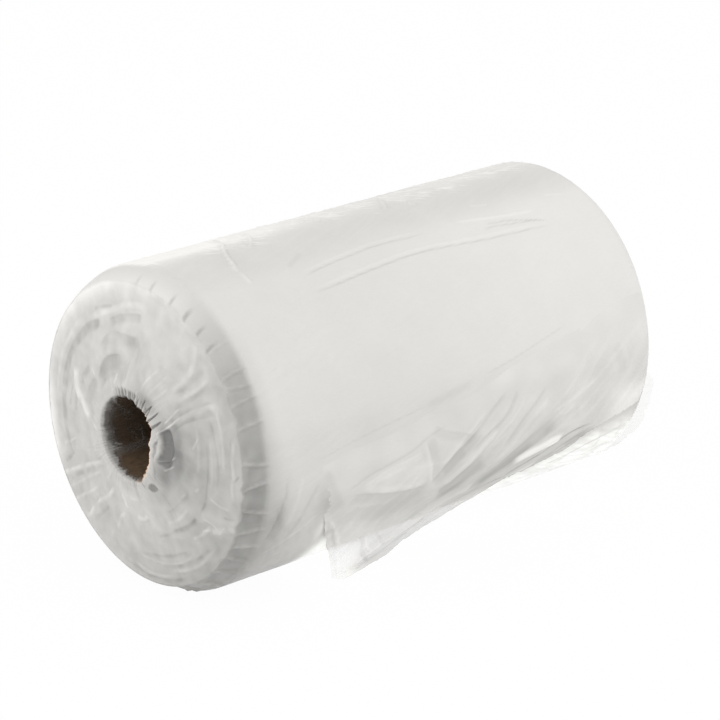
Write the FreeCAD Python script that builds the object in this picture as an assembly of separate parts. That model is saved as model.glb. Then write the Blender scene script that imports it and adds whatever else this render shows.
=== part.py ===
"""A roll of flat plastic bags on a cardboard core, in its film wrap, lying on its side.

The roll's axis runs along +X at the height that the soft roll settles to. The near end faces
-X: there the inner turns and the core stand out past the outermost turns. The slack of the wrap
hangs as a flap on the -Y side. The origin is on the floor, under the middle of the roll's box.
Millimetres.
"""

import FreeCAD, Part
import math
import os

# Cardboard core
CORE_BORE = 40.0  # inside diameter
CORE_WALL = 3.0
CORE_SPARE = 10.0  # how much longer the core is than the bags are wide
CORE_STANDOUT = 4.0  # the core's near mouth stands out past the innermost turns

# Wound bags
WEB_WIDTH = 240.0  # width of the flattened bags, from edge to edge
ROLL_DIAMETER = 153.4
OUTER_TURNS = 5.4  # radial thickness of the outermost turns, which have slid along the roll
OUTER_SLIDE = 10.4  # how far they have slid, away from the near end
INNER_SLIDE = 4.0  # how far the innermost turns have slid, towards the near end
TURN_GROUPS = 6  # steps that the slide makes between the core and the outermost turns
RIM_RADIUS = 2.4  # the soft rounding of the outermost turns' two rims

# Film wrap
FILM = 0.3  # the wrinkled film's build on the roll and its ends
TUCK_FILM = 0.1  # the flattened pleats' build inside the core
TUCK_LENGTH = 26.0  # how far each gathered end is pushed into the core
FILM_GAP = 0.05  # between the film and what it lies on
VENT_DIAMETER = 4.0  # a small round hole, punched through the near end of the wrap
VENT_FROM_CORE = 3.0  # between the hole's centre and the core's outside
VENT_ANGLE = -47.0  # round the axis, from -Y towards +Z, in degrees

# Where it rests
FLAT_WIDTH = 22.0  # the flat spot that the roll's weight presses into it

# Flap of slack film along the front
FLAP_FILM = 0.6  # two layers of film
FLAP_START = 72.0  # the near corner of its foot, from the near edge of the middle turns
FLAP_LEAN = 20.0  # how much nearer its root starts than its foot
FLAP_NEAR_REACH = 38.0  # from the edge of the flat spot to its foot, at the near corner
FLAP_FAR_REACH = 4.0  # and at the roll's far end
FLAP_SECTIONS = 8

core_radius = CORE_BORE / 2 + CORE_WALL
roll_radius = ROLL_DIAMETER / 2
step_radius = roll_radius - OUTER_TURNS
wrap_radius = roll_radius + FILM_GAP + FILM
axis_height = math.sqrt(wrap_radius**2 - (FLAT_WIDTH / 2) ** 2)

# Stations along the axis, from the near edge of the middle turns
core_near = -INNER_SLIDE - CORE_STANDOUT
core_far = core_near + WEB_WIDTH + CORE_SPARE
outer_near = OUTER_SLIDE
outer_far = OUTER_SLIDE + WEB_WIDTH
wrap_near = core_near - FILM_GAP - FILM
wrap_far = max(outer_far, core_far) + FILM_GAP + FILM
middle = (wrap_near + wrap_far) / 2

axis_point = FreeCAD.Vector(0, 0, axis_height)
along = FreeCAD.Vector(1, 0, 0)
BEYOND = 10.0  # how far a cutting block or cylinder runs past what it cuts


def at(station, radius, angle=90.0):
    """The point at a station and radius; the angle runs from -Y over +Z, in degrees."""
    turn = math.radians(angle)
    return FreeCAD.Vector(station - middle, -radius * math.cos(turn), axis_height + radius * math.sin(turn))


def revolved(section):
    """The solid swept by a closed list of (station, radius) corners round the roll's axis."""
    corners = [at(station, radius) for station, radius in section]
    face = Part.Face(Part.makePolygon(corners + corners[:1]))
    return face.revolve(axis_point, along, 360)


def cylinder(radius, start, end):
    return Part.makeCylinder(radius, end - start, at(start, 0), along)


def rounded(solid, radius, *rims):
    """The solid with its round edges at the given (station, radius) corners filleted."""
    edges = [
        edge
        for edge in solid.Edges
        for station, rim in rims
        if isinstance(edge.Curve, Part.Circle)
        and abs(edge.Curve.Radius - rim) < 1e-4
        and abs(edge.Curve.Center.x + middle - station) < 1e-4
    ]
    return solid.makeFillet(radius, edges)


def above(solid, height):
    """The part of a solid that is higher than a height: this presses the flat spot."""
    reach = wrap_far - wrap_near + 2 * BEYOND
    width = 4 * wrap_radius
    corner = FreeCAD.Vector(-reach / 2, -width / 2, height - width)
    return solid.cut(Part.makeBox(reach, width, width, corner))


def moved_out(line, distance):
    """An open line of (station, radius) points, with each of its runs moved out by a distance.

    Out is away from the roll when the line goes round it from the near tuck to the far tuck.
    """
    runs = []
    for (s0, r0), (s1, r1) in zip(line, line[1:]):
        length = math.hypot(s1 - s0, r1 - r0)
        ds, dr = (s1 - s0) / length, (r1 - r0) / length
        runs.append((s0 - dr * distance, r0 + ds * distance, ds, dr))
    moved = [runs[0][:2]]
    for (s0, r0, ds, dr), (s1, r1, es, er) in zip(runs, runs[1:]):
        share = ((s1 - s0) * er - (r1 - r0) * es) / (ds * er - dr * es)
        moved.append((s0 + ds * share, r0 + dr * share))
    s, r, ds, dr = runs[-1]
    last = math.hypot(line[-1][0] - line[-2][0], line[-1][1] - line[-2][1])
    return moved + [(s + ds * last, r + dr * last)]


def core_tube():
    return cylinder(core_radius, core_near, core_far).cut(
        cylinder(CORE_BORE / 2, core_near - BEYOND, core_far + BEYOND)
    )


def bag_roll():
    """The wound turns, as one solid: slid groups of turns make a stepped cone at each end."""
    group = (step_radius - core_radius) / TURN_GROUPS
    near, far = [], []
    for i in range(TURN_GROUPS):
        slide = INNER_SLIDE * (1 - i / (TURN_GROUPS - 1))
        for radius in (core_radius + i * group, core_radius + (i + 1) * group):
            near.append((-slide, radius))
            far.append((WEB_WIDTH - slide, radius))
    rims = [(outer_near, roll_radius), (outer_far, roll_radius)]
    section = near + [(outer_near, step_radius)] + rims + [(outer_far, step_radius)] + far[::-1]
    solid = rounded(revolved(section), min(RIM_RADIUS, 0.45 * OUTER_TURNS), *rims)
    return above(solid, FILM + FILM_GAP)


def wrap_line():
    """The wrap's side towards the roll, from the near mouth of the core to the far one."""
    return [
        (core_near - FILM_GAP, CORE_BORE / 2 - FILM_GAP),
        (core_near - FILM_GAP, core_radius),
        (-FILM_GAP, step_radius + FILM_GAP),
        (outer_near, roll_radius + FILM_GAP),
        (outer_far + FILM_GAP, roll_radius + FILM_GAP),
        (outer_far + FILM_GAP, step_radius),
        (core_far + FILM_GAP, core_radius),
        (core_far + FILM_GAP, CORE_BORE / 2 - FILM_GAP),
    ]


def flap_section(root, foot, reach):
    """The flap's outline across the film, from its root on the wrap to its foot on the floor.

    It leaves the wrap along a tangent and meets the floor at a distance from under the axis.
    The root starts inside the wrap's wall, and the foot runs on past the floor.
    """
    inner = wrap_radius - FILM / 2
    foot_angle = -math.degrees(math.atan2(axis_height, reach))
    to_foot = math.hypot(axis_height, reach)
    angle = foot_angle + math.degrees(math.acos(inner / to_foot))
    length = math.sqrt(to_foot**2 - inner**2) + BEYOND
    turn = math.radians(angle)
    down = FreeCAD.Vector(0, -math.sin(turn), -math.cos(turn)) * length
    skew = FreeCAD.Vector(foot - root, 0, 0) * (length / (length - BEYOND))
    roots = [at(root, inner, angle), at(root, inner + FLAP_FILM, angle)]
    corners = roots + [corner + down + skew for corner in roots[::-1]]
    return Part.makePolygon(corners + corners[:1])


def flap():
    """The pleat of slack film that hangs from the wrap's front down to the floor."""
    sections = []
    for i in range(FLAP_SECTIONS):
        share = i / (FLAP_SECTIONS - 1)
        foot = FLAP_START + share * (outer_far - FLAP_START)
        reach = FLAP_NEAR_REACH + share * (FLAP_FAR_REACH - FLAP_NEAR_REACH)
        root = foot - FLAP_LEAN * (1 - share)
        sections.append(flap_section(root, foot, FLAT_WIDTH / 2 + reach))
    return Part.makeLoft(sections, True, True)


def outer_wrap():
    """The film over the roll, its two gathered ends tucked into the core, and its flap."""
    inside = wrap_line()
    outside = moved_out(inside, FILM)
    lining = CORE_BORE / 2 - FILM_GAP - TUCK_FILM
    outside[0] = (outside[0][0], lining)
    outside[-1] = (outside[-1][0], lining)
    room = above(revolved(inside), FILM)
    bare_bore = cylinder(CORE_BORE / 2, core_near + TUCK_LENGTH, core_far - TUCK_LENGTH)
    vent_centre = at(wrap_near, core_radius + VENT_FROM_CORE, VENT_ANGLE)
    vent = Part.makeCylinder(VENT_DIAMETER / 2, -wrap_near, vent_centre, along)
    shell = revolved(outside).fuse(flap())
    return above(shell, 0).cut([room, bare_bore, vent])


def main():
    os.makedirs("parts", exist_ok=True)
    for make in (core_tube, bag_roll, outer_wrap):
        solid = make()
        solid.exportStep(f"parts/{make.__name__}.step")
        print(make.__name__, solid.isValid(), len(solid.Solids), round(solid.Volume), solid.BoundBox)


main()
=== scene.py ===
"""The looks of a wound roll of milky plastic bags, lying on its side in a loose film wrap.

The wrap is one film. It is pushed into both ends of the core, which gathers it into pleats over
the ends of the roll, and its slack hangs as a flap down the front. Lengths are in millimetres
until a piece is placed in the frame, which is in metres. A place on the roll is its station
along the axis, from the near edge of the middle turns, its radius, and its angle round the axis
in degrees, from the front over the top.

The film's crumpled shape is a height off its smooth surface, and its looks are amounts that its
finish reads at every vertex: milkiness, cover, the lit board edge, glow and hairs. Milkiness is 0
where film is dark over a hollow and 1 where it is white. Besides the whiteness of film that lies
doubled, it holds painted shade, in hollows, dents and gaps and on the sides that face away from
the light, and painted light and highlights. The lit board edge is a painted highlight at the near
mouth, and glow is painted light, an emission for light that comes through thin film. Cover is
how much the film hides.
"""

import itertools
import math

import bmesh
import bpy
import numpy as np
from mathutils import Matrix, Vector


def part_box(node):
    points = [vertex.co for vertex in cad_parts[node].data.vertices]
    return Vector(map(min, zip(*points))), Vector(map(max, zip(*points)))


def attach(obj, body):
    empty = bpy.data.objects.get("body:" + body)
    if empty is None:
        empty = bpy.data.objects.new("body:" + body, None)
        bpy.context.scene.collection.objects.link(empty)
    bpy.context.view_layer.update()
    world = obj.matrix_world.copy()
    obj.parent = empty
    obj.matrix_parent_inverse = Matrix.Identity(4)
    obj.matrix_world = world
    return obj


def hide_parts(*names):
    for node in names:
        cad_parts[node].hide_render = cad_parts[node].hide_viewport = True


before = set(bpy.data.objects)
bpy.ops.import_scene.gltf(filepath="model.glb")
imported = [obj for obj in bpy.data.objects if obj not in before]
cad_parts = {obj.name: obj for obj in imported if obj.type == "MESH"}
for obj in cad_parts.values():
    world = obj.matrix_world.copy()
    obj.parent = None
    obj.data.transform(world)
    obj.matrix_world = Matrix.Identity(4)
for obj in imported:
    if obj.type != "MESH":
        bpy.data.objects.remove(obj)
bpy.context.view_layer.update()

MM = 0.001

# Sizes of the core and the bags that their boxes in the frame don't give
CORE_WALL = 3.0
WEB_WIDTH = 240.0
INNER_SLIDE = 4.0  # how far the innermost turns have slid towards the near end
OUTER_TURNS = 5.4  # thickness of the outermost turns, which have slid towards the far end
RIM_RADIUS = 2.4  # the rounding of the outermost turns' rims

# Sizes and places that the frame gives
core_low, core_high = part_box("core_tube")
roll_low, roll_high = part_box("bag_roll")
CORE_RADIUS = (core_high.z - core_low.z) / 2 / MM
BORE_RADIUS = CORE_RADIUS - CORE_WALL
ROLL_RADIUS = (roll_high.y - roll_low.y) / 2 / MM
STEP_RADIUS = ROLL_RADIUS - OUTER_TURNS
AXIS_HEIGHT = (core_high.z + core_low.z) / 2 / MM
NEAR_RIM_X = roll_low.x / MM + INNER_SLIDE
CORE_NEAR = core_low.x / MM - NEAR_RIM_X
CORE_FAR = core_high.x / MM - NEAR_RIM_X
OUTER_FAR = roll_high.x / MM - NEAR_RIM_X
OUTER_NEAR = OUTER_FAR - WEB_WIDTH

# The film wrap
FILM_RADIUS = ROLL_RADIUS + 0.3
LINING_RADIUS = BORE_RADIUS - 0.25
TUCK_LENGTH = 24.0  # how far the film goes into each mouth of the core
LIP_STANDOUT = 0.9  # how far the gathered film bulges past the core's mouth
LIP = 1.6  # half the thickness of that bulge
NEAR_CUT, FAR_CUT = 32.0, 42.0  # from the shoulder and the far rim to where its pieces meet
NEAR_FINE, FAR_FINE = 34.0, 45.0  # from the outer turns' rims to where its rings are wider apart
SHAPE_BLEND = 3.0  # how far the shape of an end and that of the round run into each other
FILM_COVER = 0.93  # of one layer, where it isn't thinner
FLOOR_CLEARANCE = 0.06
VENT_ANGLE, VENT_FROM_AXIS = -47.0, 26.0  # the centre of the small round hole in the near end

# How finely the pieces are made
FILM_SEGMENTS, ROLL_SEGMENTS = 600, 240  # round the roll
FLAP_COLUMNS, FLAP_ROWS = 330, 210
FRILL_COLUMNS, FRILL_ROWS = 150, 24


# Curves and places -----------------------------------------------------------------------------


def smooth_step(low, high, value):
    """0 up to one end of a range and 1 past the other, with a soft start and stop."""
    share = np.clip((value - low) / (high - low), 0, 1)
    return share * share * (3 - 2 * share)


def between(value, start, full, fade, end):
    """0 before the start, 1 from full to fade and 0 past the end, with soft changes."""
    return smooth_step(start, full, value) * smooth_step(end, fade, value)


def mixed(first, second, share):
    """Two amounts, mixed by the share of the second."""
    return first * (1 - share) + share * second


def read_curve(pairs, value):
    """Reads a curve that is given by pairs of a place and an amount."""
    return np.interp(value, *zip(*pairs))


def end_chart(radius, angle):
    """Places on a flat end of the roll, as distances in front of the axis and above it."""
    turn = np.radians(angle)
    return radius * np.cos(turn), radius * np.sin(turn)


def place(station, radius, angle):
    """Frame coordinates, in metres, of places on the roll."""
    front, up = end_chart(radius, angle)
    return np.stack([NEAR_RIM_X + station, -front, AXIS_HEIGHT + up], axis=-1) * MM


def places_of(points):
    """Station, radius and angle of frame coordinates."""
    station = points[:, 0] / MM - NEAR_RIM_X
    front = -points[:, 1] / MM
    up = points[:, 2] / MM - AXIS_HEIGHT
    return station, np.hypot(front, up), np.degrees(np.arctan2(up, front))


def turned(angle, centre):
    """An angle less a centre, between -180 and 180."""
    return (angle - centre + 180) % 360 - 180


def facing(angle, centre, full, end):
    """1 up to one distance from a centre angle and 0 past another."""
    return smooth_step(end, full, np.abs(turned(angle, centre)))


def arc(radius, angle, centre):
    """Distance round the axis from a centre angle."""
    return np.radians(turned(angle, centre)) * radius


def slanted(x, y, direction):
    """Distances along and across a direction, which is given by its own x and y."""
    return x * direction[0] + y * direction[1], y * direction[0] - x * direction[1]


def noise_field(seed, *where):
    """Smooth noise between about -1 and 1, from random slopes on a lattice with cells of 1.

    It is read at places that are given by one, two or three coordinates.
    """
    draw = np.random.default_rng(seed)
    order = np.tile(draw.permutation(256), 2)
    slopes = draw.normal(size=(256, 3))
    slopes /= np.linalg.norm(slopes, axis=1)[:, None]
    points = np.zeros((len(where[0]), 3))
    points[:, : len(where)] = np.stack(where, axis=-1)
    cell = np.floor(points).astype(int)
    part = points - cell
    fade = part**3 * (part * (part * 6 - 15) + 10)
    total = np.zeros(len(points))
    for corner in itertools.product((0, 1), repeat=3):
        key = (cell + corner) & 255
        index = order[order[order[key[:, 0]] + key[:, 1]] + key[:, 2]]
        weight = np.prod(np.where(corner, fade, 1 - fade), axis=1)
        total += weight * ((part - corner) * slopes[index]).sum(axis=1)
    return 1.6 * total


def creases(seed, *where):
    """Noise with sharp crests, 1 on a crest and falling away on both sides."""
    return 1 - np.abs(noise_field(seed, *where)) * 2


def distance_along(line):
    steps = np.hypot(np.diff(line[:, 0]), np.diff(line[:, 1]))
    return np.concatenate([[0], np.cumsum(steps)])


def follow(points, share):
    """The point at a share of the way along a line of points."""
    line = np.array(points, dtype=float)
    travel = distance_along(line)
    travel /= travel[-1]
    return np.interp(share, travel, line[:, 0]), np.interp(share, travel, line[:, 1])


def dotted(corners, spacings):
    """Points along the runs between corners, each run at its own spacing."""
    points = [corners[0]]
    for start, end, spacing in zip(corners, corners[1:], spacings):
        count = max(1, round(math.dist(start, end) / spacing))
        for i in range(1, count + 1):
            share = i / count
            points.append(tuple(a + (b - a) * share for a, b in zip(start, end)))
    return points


def rounded_path(points, pieces=5):
    """A smooth path through points, a few short runs between each two."""
    points = np.array(points, dtype=float)
    ends = np.vstack([2 * points[0] - points[1], points, 2 * points[-1] - points[-2]])
    path = []
    for i in range(len(points) - 1):
        p0, p1, p2, p3 = ends[i : i + 4]
        bend = 2 * p0 - 5 * p1 + 4 * p2 - p3
        twist = 3 * (p1 - p2) + p3 - p0
        for t in np.arange(pieces) / pieces:
            path.append(0.5 * (2 * p1 + (p2 - p0) * t + bend * t**2 + twist * t**3))
    return np.array(path + [points[-1]])


# Meshes ----------------------------------------------------------------------------------------


def to_mesh(bm, name):
    mesh = bpy.data.meshes.new(name)
    bm.to_mesh(mesh)
    bm.free()
    return mesh


def read_vectors(mesh, kind):
    """The places ("co") or the normals ("normal") of a mesh's vertices."""
    values = np.zeros(len(mesh.vertices) * 3)
    mesh.vertices.foreach_get(kind, values)
    return values.reshape(-1, 3)


def read_attribute(mesh, name, kind=float):
    values = np.zeros(len(mesh.vertices), dtype=kind)
    mesh.attributes[name].data.foreach_get("value", values)
    return values


def write_points(mesh, points):
    """Moves a mesh's vertices to new places, keeping them all just above the floor."""
    points[:, 2] = np.maximum(points[:, 2], FLOOR_CLEARANCE * MM)
    mesh.vertices.foreach_set("co", points.astype(np.float32).ravel())
    mesh.update()


def paint(mesh, **amounts):
    """Keeps amounts at a mesh's vertices, under the names that the film's finish reads."""
    for name, values in amounts.items():
        layer = mesh.attributes.new(name, "FLOAT", "POINT")
        layer.data.foreach_set("value", values.astype(np.float32))


def add_object(name, data):
    added = bpy.data.objects.new(name, data)
    bpy.context.scene.collection.objects.link(added)
    return added


def add_piece(name, mesh, material, node):
    """A finished mesh becomes a piece that stands for a node of the frame."""
    mesh.name = name
    for polygon in mesh.polygons:
        polygon.use_smooth = True
    mesh.materials.append(material)
    piece = add_object(name, mesh)
    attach(piece, "root")
    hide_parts(node)
    return piece


def grid_sheet(name, columns, rows):
    """A flat grid, and how far along and across it, from 0 to 1, each of its vertices is."""
    bm = bmesh.new()
    bmesh.ops.create_grid(bm, x_segments=columns, y_segments=rows, size=0.5)
    mesh = to_mesh(bm, name)
    shares = read_vectors(mesh, "co") + 0.5
    return mesh, shares[:, 0], shares[:, 1]


def ringed_mesh(name, line, segments):
    """A line of (station, radius) points, swept round the roll's axis.

    It starts as a flat grid: its columns become the points of the line, its rows go round, and
    its two edges that meet are welded. The vertex attribute "along" keeps how far along the line
    each vertex lies.
    """
    bm = bmesh.new()
    bmesh.ops.create_grid(bm, x_segments=len(line) - 1, y_segments=segments, size=0.5)
    layer = bm.verts.layers.float.new("along")
    flat = np.array([vertex.co[:2] for vertex in bm.verts]) + 0.5
    columns = np.rint(flat[:, 0] * (len(line) - 1)).astype(int)
    rows = np.rint(flat[:, 1] * segments).astype(int)
    points = place(line[columns, 0], line[columns, 1], rows * 360 / segments)
    for vertex, point, distance in zip(bm.verts, points, distance_along(line)[columns]):
        vertex.co = point
        vertex[layer] = distance
    first, last = {}, {}
    for vertex, column, row in zip(bm.verts, columns, rows):
        if row == 0:
            first[column] = vertex
        elif row == segments:
            last[column] = vertex
    bmesh.ops.weld_verts(bm, targetmap={last[column]: first[column] for column in last})
    bm.normal_update()
    outermost = max(bm.faces, key=lambda face: face.verts[0].co.z)
    if outermost.normal.z < 0:
        bmesh.ops.reverse_faces(bm, faces=bm.faces)
    return to_mesh(bm, name)


# The film's line -------------------------------------------------------------------------------


def film_line():
    """The film's smooth line from the near tuck to the far tuck, as (station, radius) points."""
    near_mouth = CORE_NEAR - LIP_STANDOUT
    far_mouth = CORE_FAR + LIP_STANDOUT
    lip_radius = (LINING_RADIUS + CORE_RADIUS) / 2
    near = [
        # inside the core
        (CORE_NEAR + TUCK_LENGTH, LINING_RADIUS),
        (CORE_NEAR + 8, LINING_RADIUS),
        (CORE_NEAR + 0.6, LINING_RADIUS),
        # round its mouth
        (near_mouth + 0.25, LINING_RADIUS + 0.6),
        (near_mouth, lip_radius),
        (near_mouth + 0.25, CORE_RADIUS - 0.2),
        # over the end of the roll
        (CORE_NEAR - 0.35, CORE_RADIUS + 1.2),
        (-1.35, STEP_RADIUS - 6.4),
        (-1.1, STEP_RADIUS - 3.9),
        (-0.8, STEP_RADIUS - 1.6),
        # over the step from the middle turns to the outer ones
        (0.0, STEP_RADIUS + 0.45),
        (1.7, STEP_RADIUS + 2.1),
        (4.0, STEP_RADIUS + 3.3),
        (6.8, STEP_RADIUS + 4.4),
        (9.6, FILM_RADIUS - 0.35),
        (12.2, FILM_RADIUS),
        (OUTER_NEAR + NEAR_FINE, FILM_RADIUS),
    ]
    near_spacings = [1.6, 0.8] + 4 * [0.5] + [0.56] + 8 * [0.5] + [1.45]
    body_spacing = 1.25
    far = [
        # the far rim
        (OUTER_FAR - FAR_FINE, FILM_RADIUS),
        (OUTER_FAR - 1.6, FILM_RADIUS),
        (OUTER_FAR + 0.05, FILM_RADIUS - 0.7),
        (OUTER_FAR + 0.3, FILM_RADIUS - 2.2),
        # in over the far end
        (OUTER_FAR + 0.3, STEP_RADIUS + 0.5),
        (OUTER_FAR - 0.3, STEP_RADIUS - 1.0),
        (CORE_FAR + 0.35, CORE_RADIUS + 1.2),
        # round the core's far mouth and into it
        (far_mouth - 0.25, CORE_RADIUS - 0.2),
        (far_mouth, lip_radius),
        (far_mouth - 0.25, LINING_RADIUS + 0.6),
        (CORE_FAR - 0.6, LINING_RADIUS),
        (CORE_FAR - TUCK_LENGTH, LINING_RADIUS),
    ]
    far_spacings = [1.5, 0.9, 0.8, 0.9, 0.8, 1.0] + 4 * [0.6] + [2.0]
    return np.array(dotted(near + far, near_spacings + [body_spacing] + far_spacings))


def film_marks(line, travel):
    """How far along the line its lips and rims lie."""
    marks = {
        "near_lip": (CORE_NEAR - LIP_STANDOUT, CORE_RADIUS - LIP),
        "near_rim": (-0.3, STEP_RADIUS),
        "shoulder": (OUTER_NEAR, FILM_RADIUS),
        "far_rim": (OUTER_FAR, FILM_RADIUS - 0.7),
        "far_lip": (CORE_FAR + LIP_STANDOUT, CORE_RADIUS - LIP),
    }
    return {name: travel[np.argmin(np.hypot(*(line - point).T))] for name, point in marks.items()}


def outward(line):
    """Unit normals of the line, away from the roll."""
    tangent = np.gradient(line, axis=0)
    tangent /= np.linalg.norm(tangent, axis=1)[:, None]
    return np.stack([-tangent[:, 1], tangent[:, 0]], axis=1)


# Folds, pleats and shades ----------------------------------------------------------------------

FOLD_FADE = 0.14  # the share of a fold's length over which each of its ends dies out
LEAST_PLEAT_RADIUS = 19.0  # inside the core, pleats get no narrower than here


def fold(path, widths, x, y):
    """How far up a fold each point is: 1 on its line, 0 past its two widths and at its ends.

    The widths are on the left and on the right of the line, as it is followed. Folds wider than
    1 mm are fuller, with a flat crest.
    """
    path = np.array(path, dtype=float)
    reach = max(widths)
    inside = (x > path[:, 0].min() - reach) & (x < path[:, 0].max() + reach)
    inside &= (y > path[:, 1].min() - reach) & (y < path[:, 1].max() + reach)
    px, py = x[inside], y[inside]
    travel = distance_along(path)
    nearest, share, side = np.full(px.shape, np.inf), np.zeros(px.shape), np.zeros(px.shape)
    for (x0, y0), (x1, y1), before, after in zip(path, path[1:], travel, travel[1:]):
        length = after - before
        dx, dy = (x1 - x0) / length, (y1 - y0) / length
        run = np.clip((px - x0) * dx + (py - y0) * dy, 0, length)
        off_x, off_y = px - x0 - run * dx, py - y0 - run * dy
        distance = np.hypot(off_x, off_y)
        closer = distance < nearest
        nearest[closer] = distance[closer]
        share[closer] = (before + run[closer]) / travel[-1]
        side[closer] = (dx * off_y - dy * off_x)[closer]
    width = np.where(side > 0, widths[0], widths[1])
    fullness = 1 + 0.16 * np.clip(width - 1, 0, 5)
    level = np.zeros(x.shape)
    level[inside] = smooth_step(0, 1, fullness * (1 - nearest / width))
    level[inside] *= between(share, 0, FOLD_FADE, 1 - FOLD_FADE, 1)
    return level


def laid_folds(folds, x, y, to_chart=None):
    """Height and milkiness that listed folds give to places on a flat chart.

    Each fold is its height, its two widths, its change of milkiness and the points of its path.
    Its change of milkiness is painted shade along a dent and painted highlight along a ridge,
    besides the white of film that lies doubled.
    The function to_chart brings the path to the chart, where its points aren't given on it.
    """
    height, milk = np.zeros(x.shape), np.zeros(x.shape)
    for rise, widths, whiter, points in folds:
        path = rounded_path(points)
        if to_chart:
            path = np.stack(to_chart(path[:, 0], path[:, 1]), axis=1)
        level = fold(path, widths, x, y)
        height += rise * level
        milk += whiter * level
    return height, milk


def shades(spots, x, y, wrap=False):
    """The sum of soft round spots of painted light and shade, each with its place, its two sizes and its
    amount.
    """
    total = np.zeros(x.shape)
    for x0, y0, wide, high, amount in spots:
        off_y = turned(y, y0) if wrap else y - y0
        total += amount * np.exp(-(((x - x0) / wide) ** 2) - (off_y / high) ** 2)
    return total


def gathered_pleats(reach, radius, angle, count, seed):
    """Height of the small sharp pleats that fan out from a mouth of the core.

    Reach is the distance out from the lip. Inside the core it is below zero, and there the
    pleats are deeper.
    """
    draw = np.random.default_rng(seed)
    height = np.zeros(reach.shape)
    out = np.clip(reach, 0, None)
    inside = read_curve([(-14, 3.0), (-6, 1.6), (-3, 1), (0, 1)], reach)
    radius = np.maximum(radius, LEAST_PLEAT_RADIUS)
    for i in range(count):
        centre = 360 * (i + draw.uniform(-0.45, 0.45)) / count
        rise = draw.uniform(0.35, 1.25)
        length = draw.choice([5.0, 9.0, 16.0, 30.0], p=[0.3, 0.35, 0.25, 0.1])
        length *= draw.uniform(0.75, 1.3)
        lean = draw.normal(0, 0.25)
        bend = draw.normal(0, 0.012)
        width = draw.uniform(0.7, 1.5)
        steep = draw.uniform(0.35, 0.9)
        off = arc(radius, angle, centre + lean * out + bend * out * out)
        spread = width * (1 + out / 22)
        level = np.clip(1 - np.where(off > 0, off / steep, -off) / spread, 0, 1)
        fade = np.clip(1 - out / length, 0, 1) ** 0.8
        height = np.maximum(height, rise * level**1.3 * fade * inside)
    return height


def fanned_wrinkles(radius, angle, count, seed):
    """Height of longer, softer wrinkles that cross an end of the roll."""
    draw = np.random.default_rng(seed)
    height = np.zeros(radius.shape)
    for _ in range(count):
        centre, lean = draw.uniform(0, 360), draw.normal(0, 0.35)
        inner = draw.uniform(26, 55)
        outer = inner + draw.uniform(10, 26)
        width, rise = draw.uniform(0.7, 2.2), draw.uniform(0.12, 0.5)
        off = arc(radius, angle, centre + lean * (radius - inner))
        level = np.clip(1 - np.abs(off) / width, 0, 1) ** 1.6
        share = np.clip((radius - inner) / (outer - inner), 0, 1)
        height += rise * level * np.sin(np.pi * share)
    return height


# The near end ----------------------------------------------------------------------------------

NEAR_PLEATS, NEAR_WRINKLES = 84, 90
# the near end's base milkiness is painted shade: its film is darker than the round's, as it faces away
# from the key lamp
NEAR_MILK = 0.51

# Broad patches of painted shade and light on the near end, each with its radius, angle, two sizes
# and change of milkiness
NEAR_PAINTED_SHADING = [
    (73, 125, 7, 38, 0.50),
    (70, -170, 5, 16, 0.40),
    (60, 75, 14, 28, 0.08),
    (34, 160, 10, 26, -0.05),
    (47, 0, 20, 34, -0.23),
    (33, 4, 8, 26, -0.18),
    (26, 60, 4, 16, -0.20),
    (27, -22, 3.5, 14, -0.17),
    (27, 20, 1.8, 7, -0.12),
    (30, 40, 2.5, 8, -0.08),
    (31, -45, 5, 18, -0.12),
    (29, -130, 6, 30, -0.06),
    (25, 60, 3, 12, -0.10),
    (28, -25, 4, 14, -0.08),
    (29, 24, 3, 8, -0.10),
    (54, 2, 6, 12, 0.05),
    (25, 20, 3, 10, -0.10),
    (26, -20, 3, 10, -0.10),
    (23.4, 0, 1.8, 20, -0.08),
    (60, -150, 12, 22, -0.05),
    (40, -140, 12, 26, -0.04),
    (37, 165, 6, 14, 0.08),
    (42, 113, 9, 30, 0.07),
    (54, -40, 12, 14, -0.07),
    (68, 16, 4.5, 16, -0.11),
    (70, 36, 4, 12, -0.09),
    (67, -35, 5, 18, -0.08),
    (60, -80, 20, 40, -0.085),
    (70, -52, 8, 28, -0.14),
    (71, -108, 4, 22, 0.10),
    (52, 108, 9, 26, 0.05),
    (30, -80, 10, 34, 0.08),
    (22.5, 14, 2.6, 14, 0.16),
    (38, 110, 14, 26, -0.06),
    (30, -50, 12, 22, -0.06),
]
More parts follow.
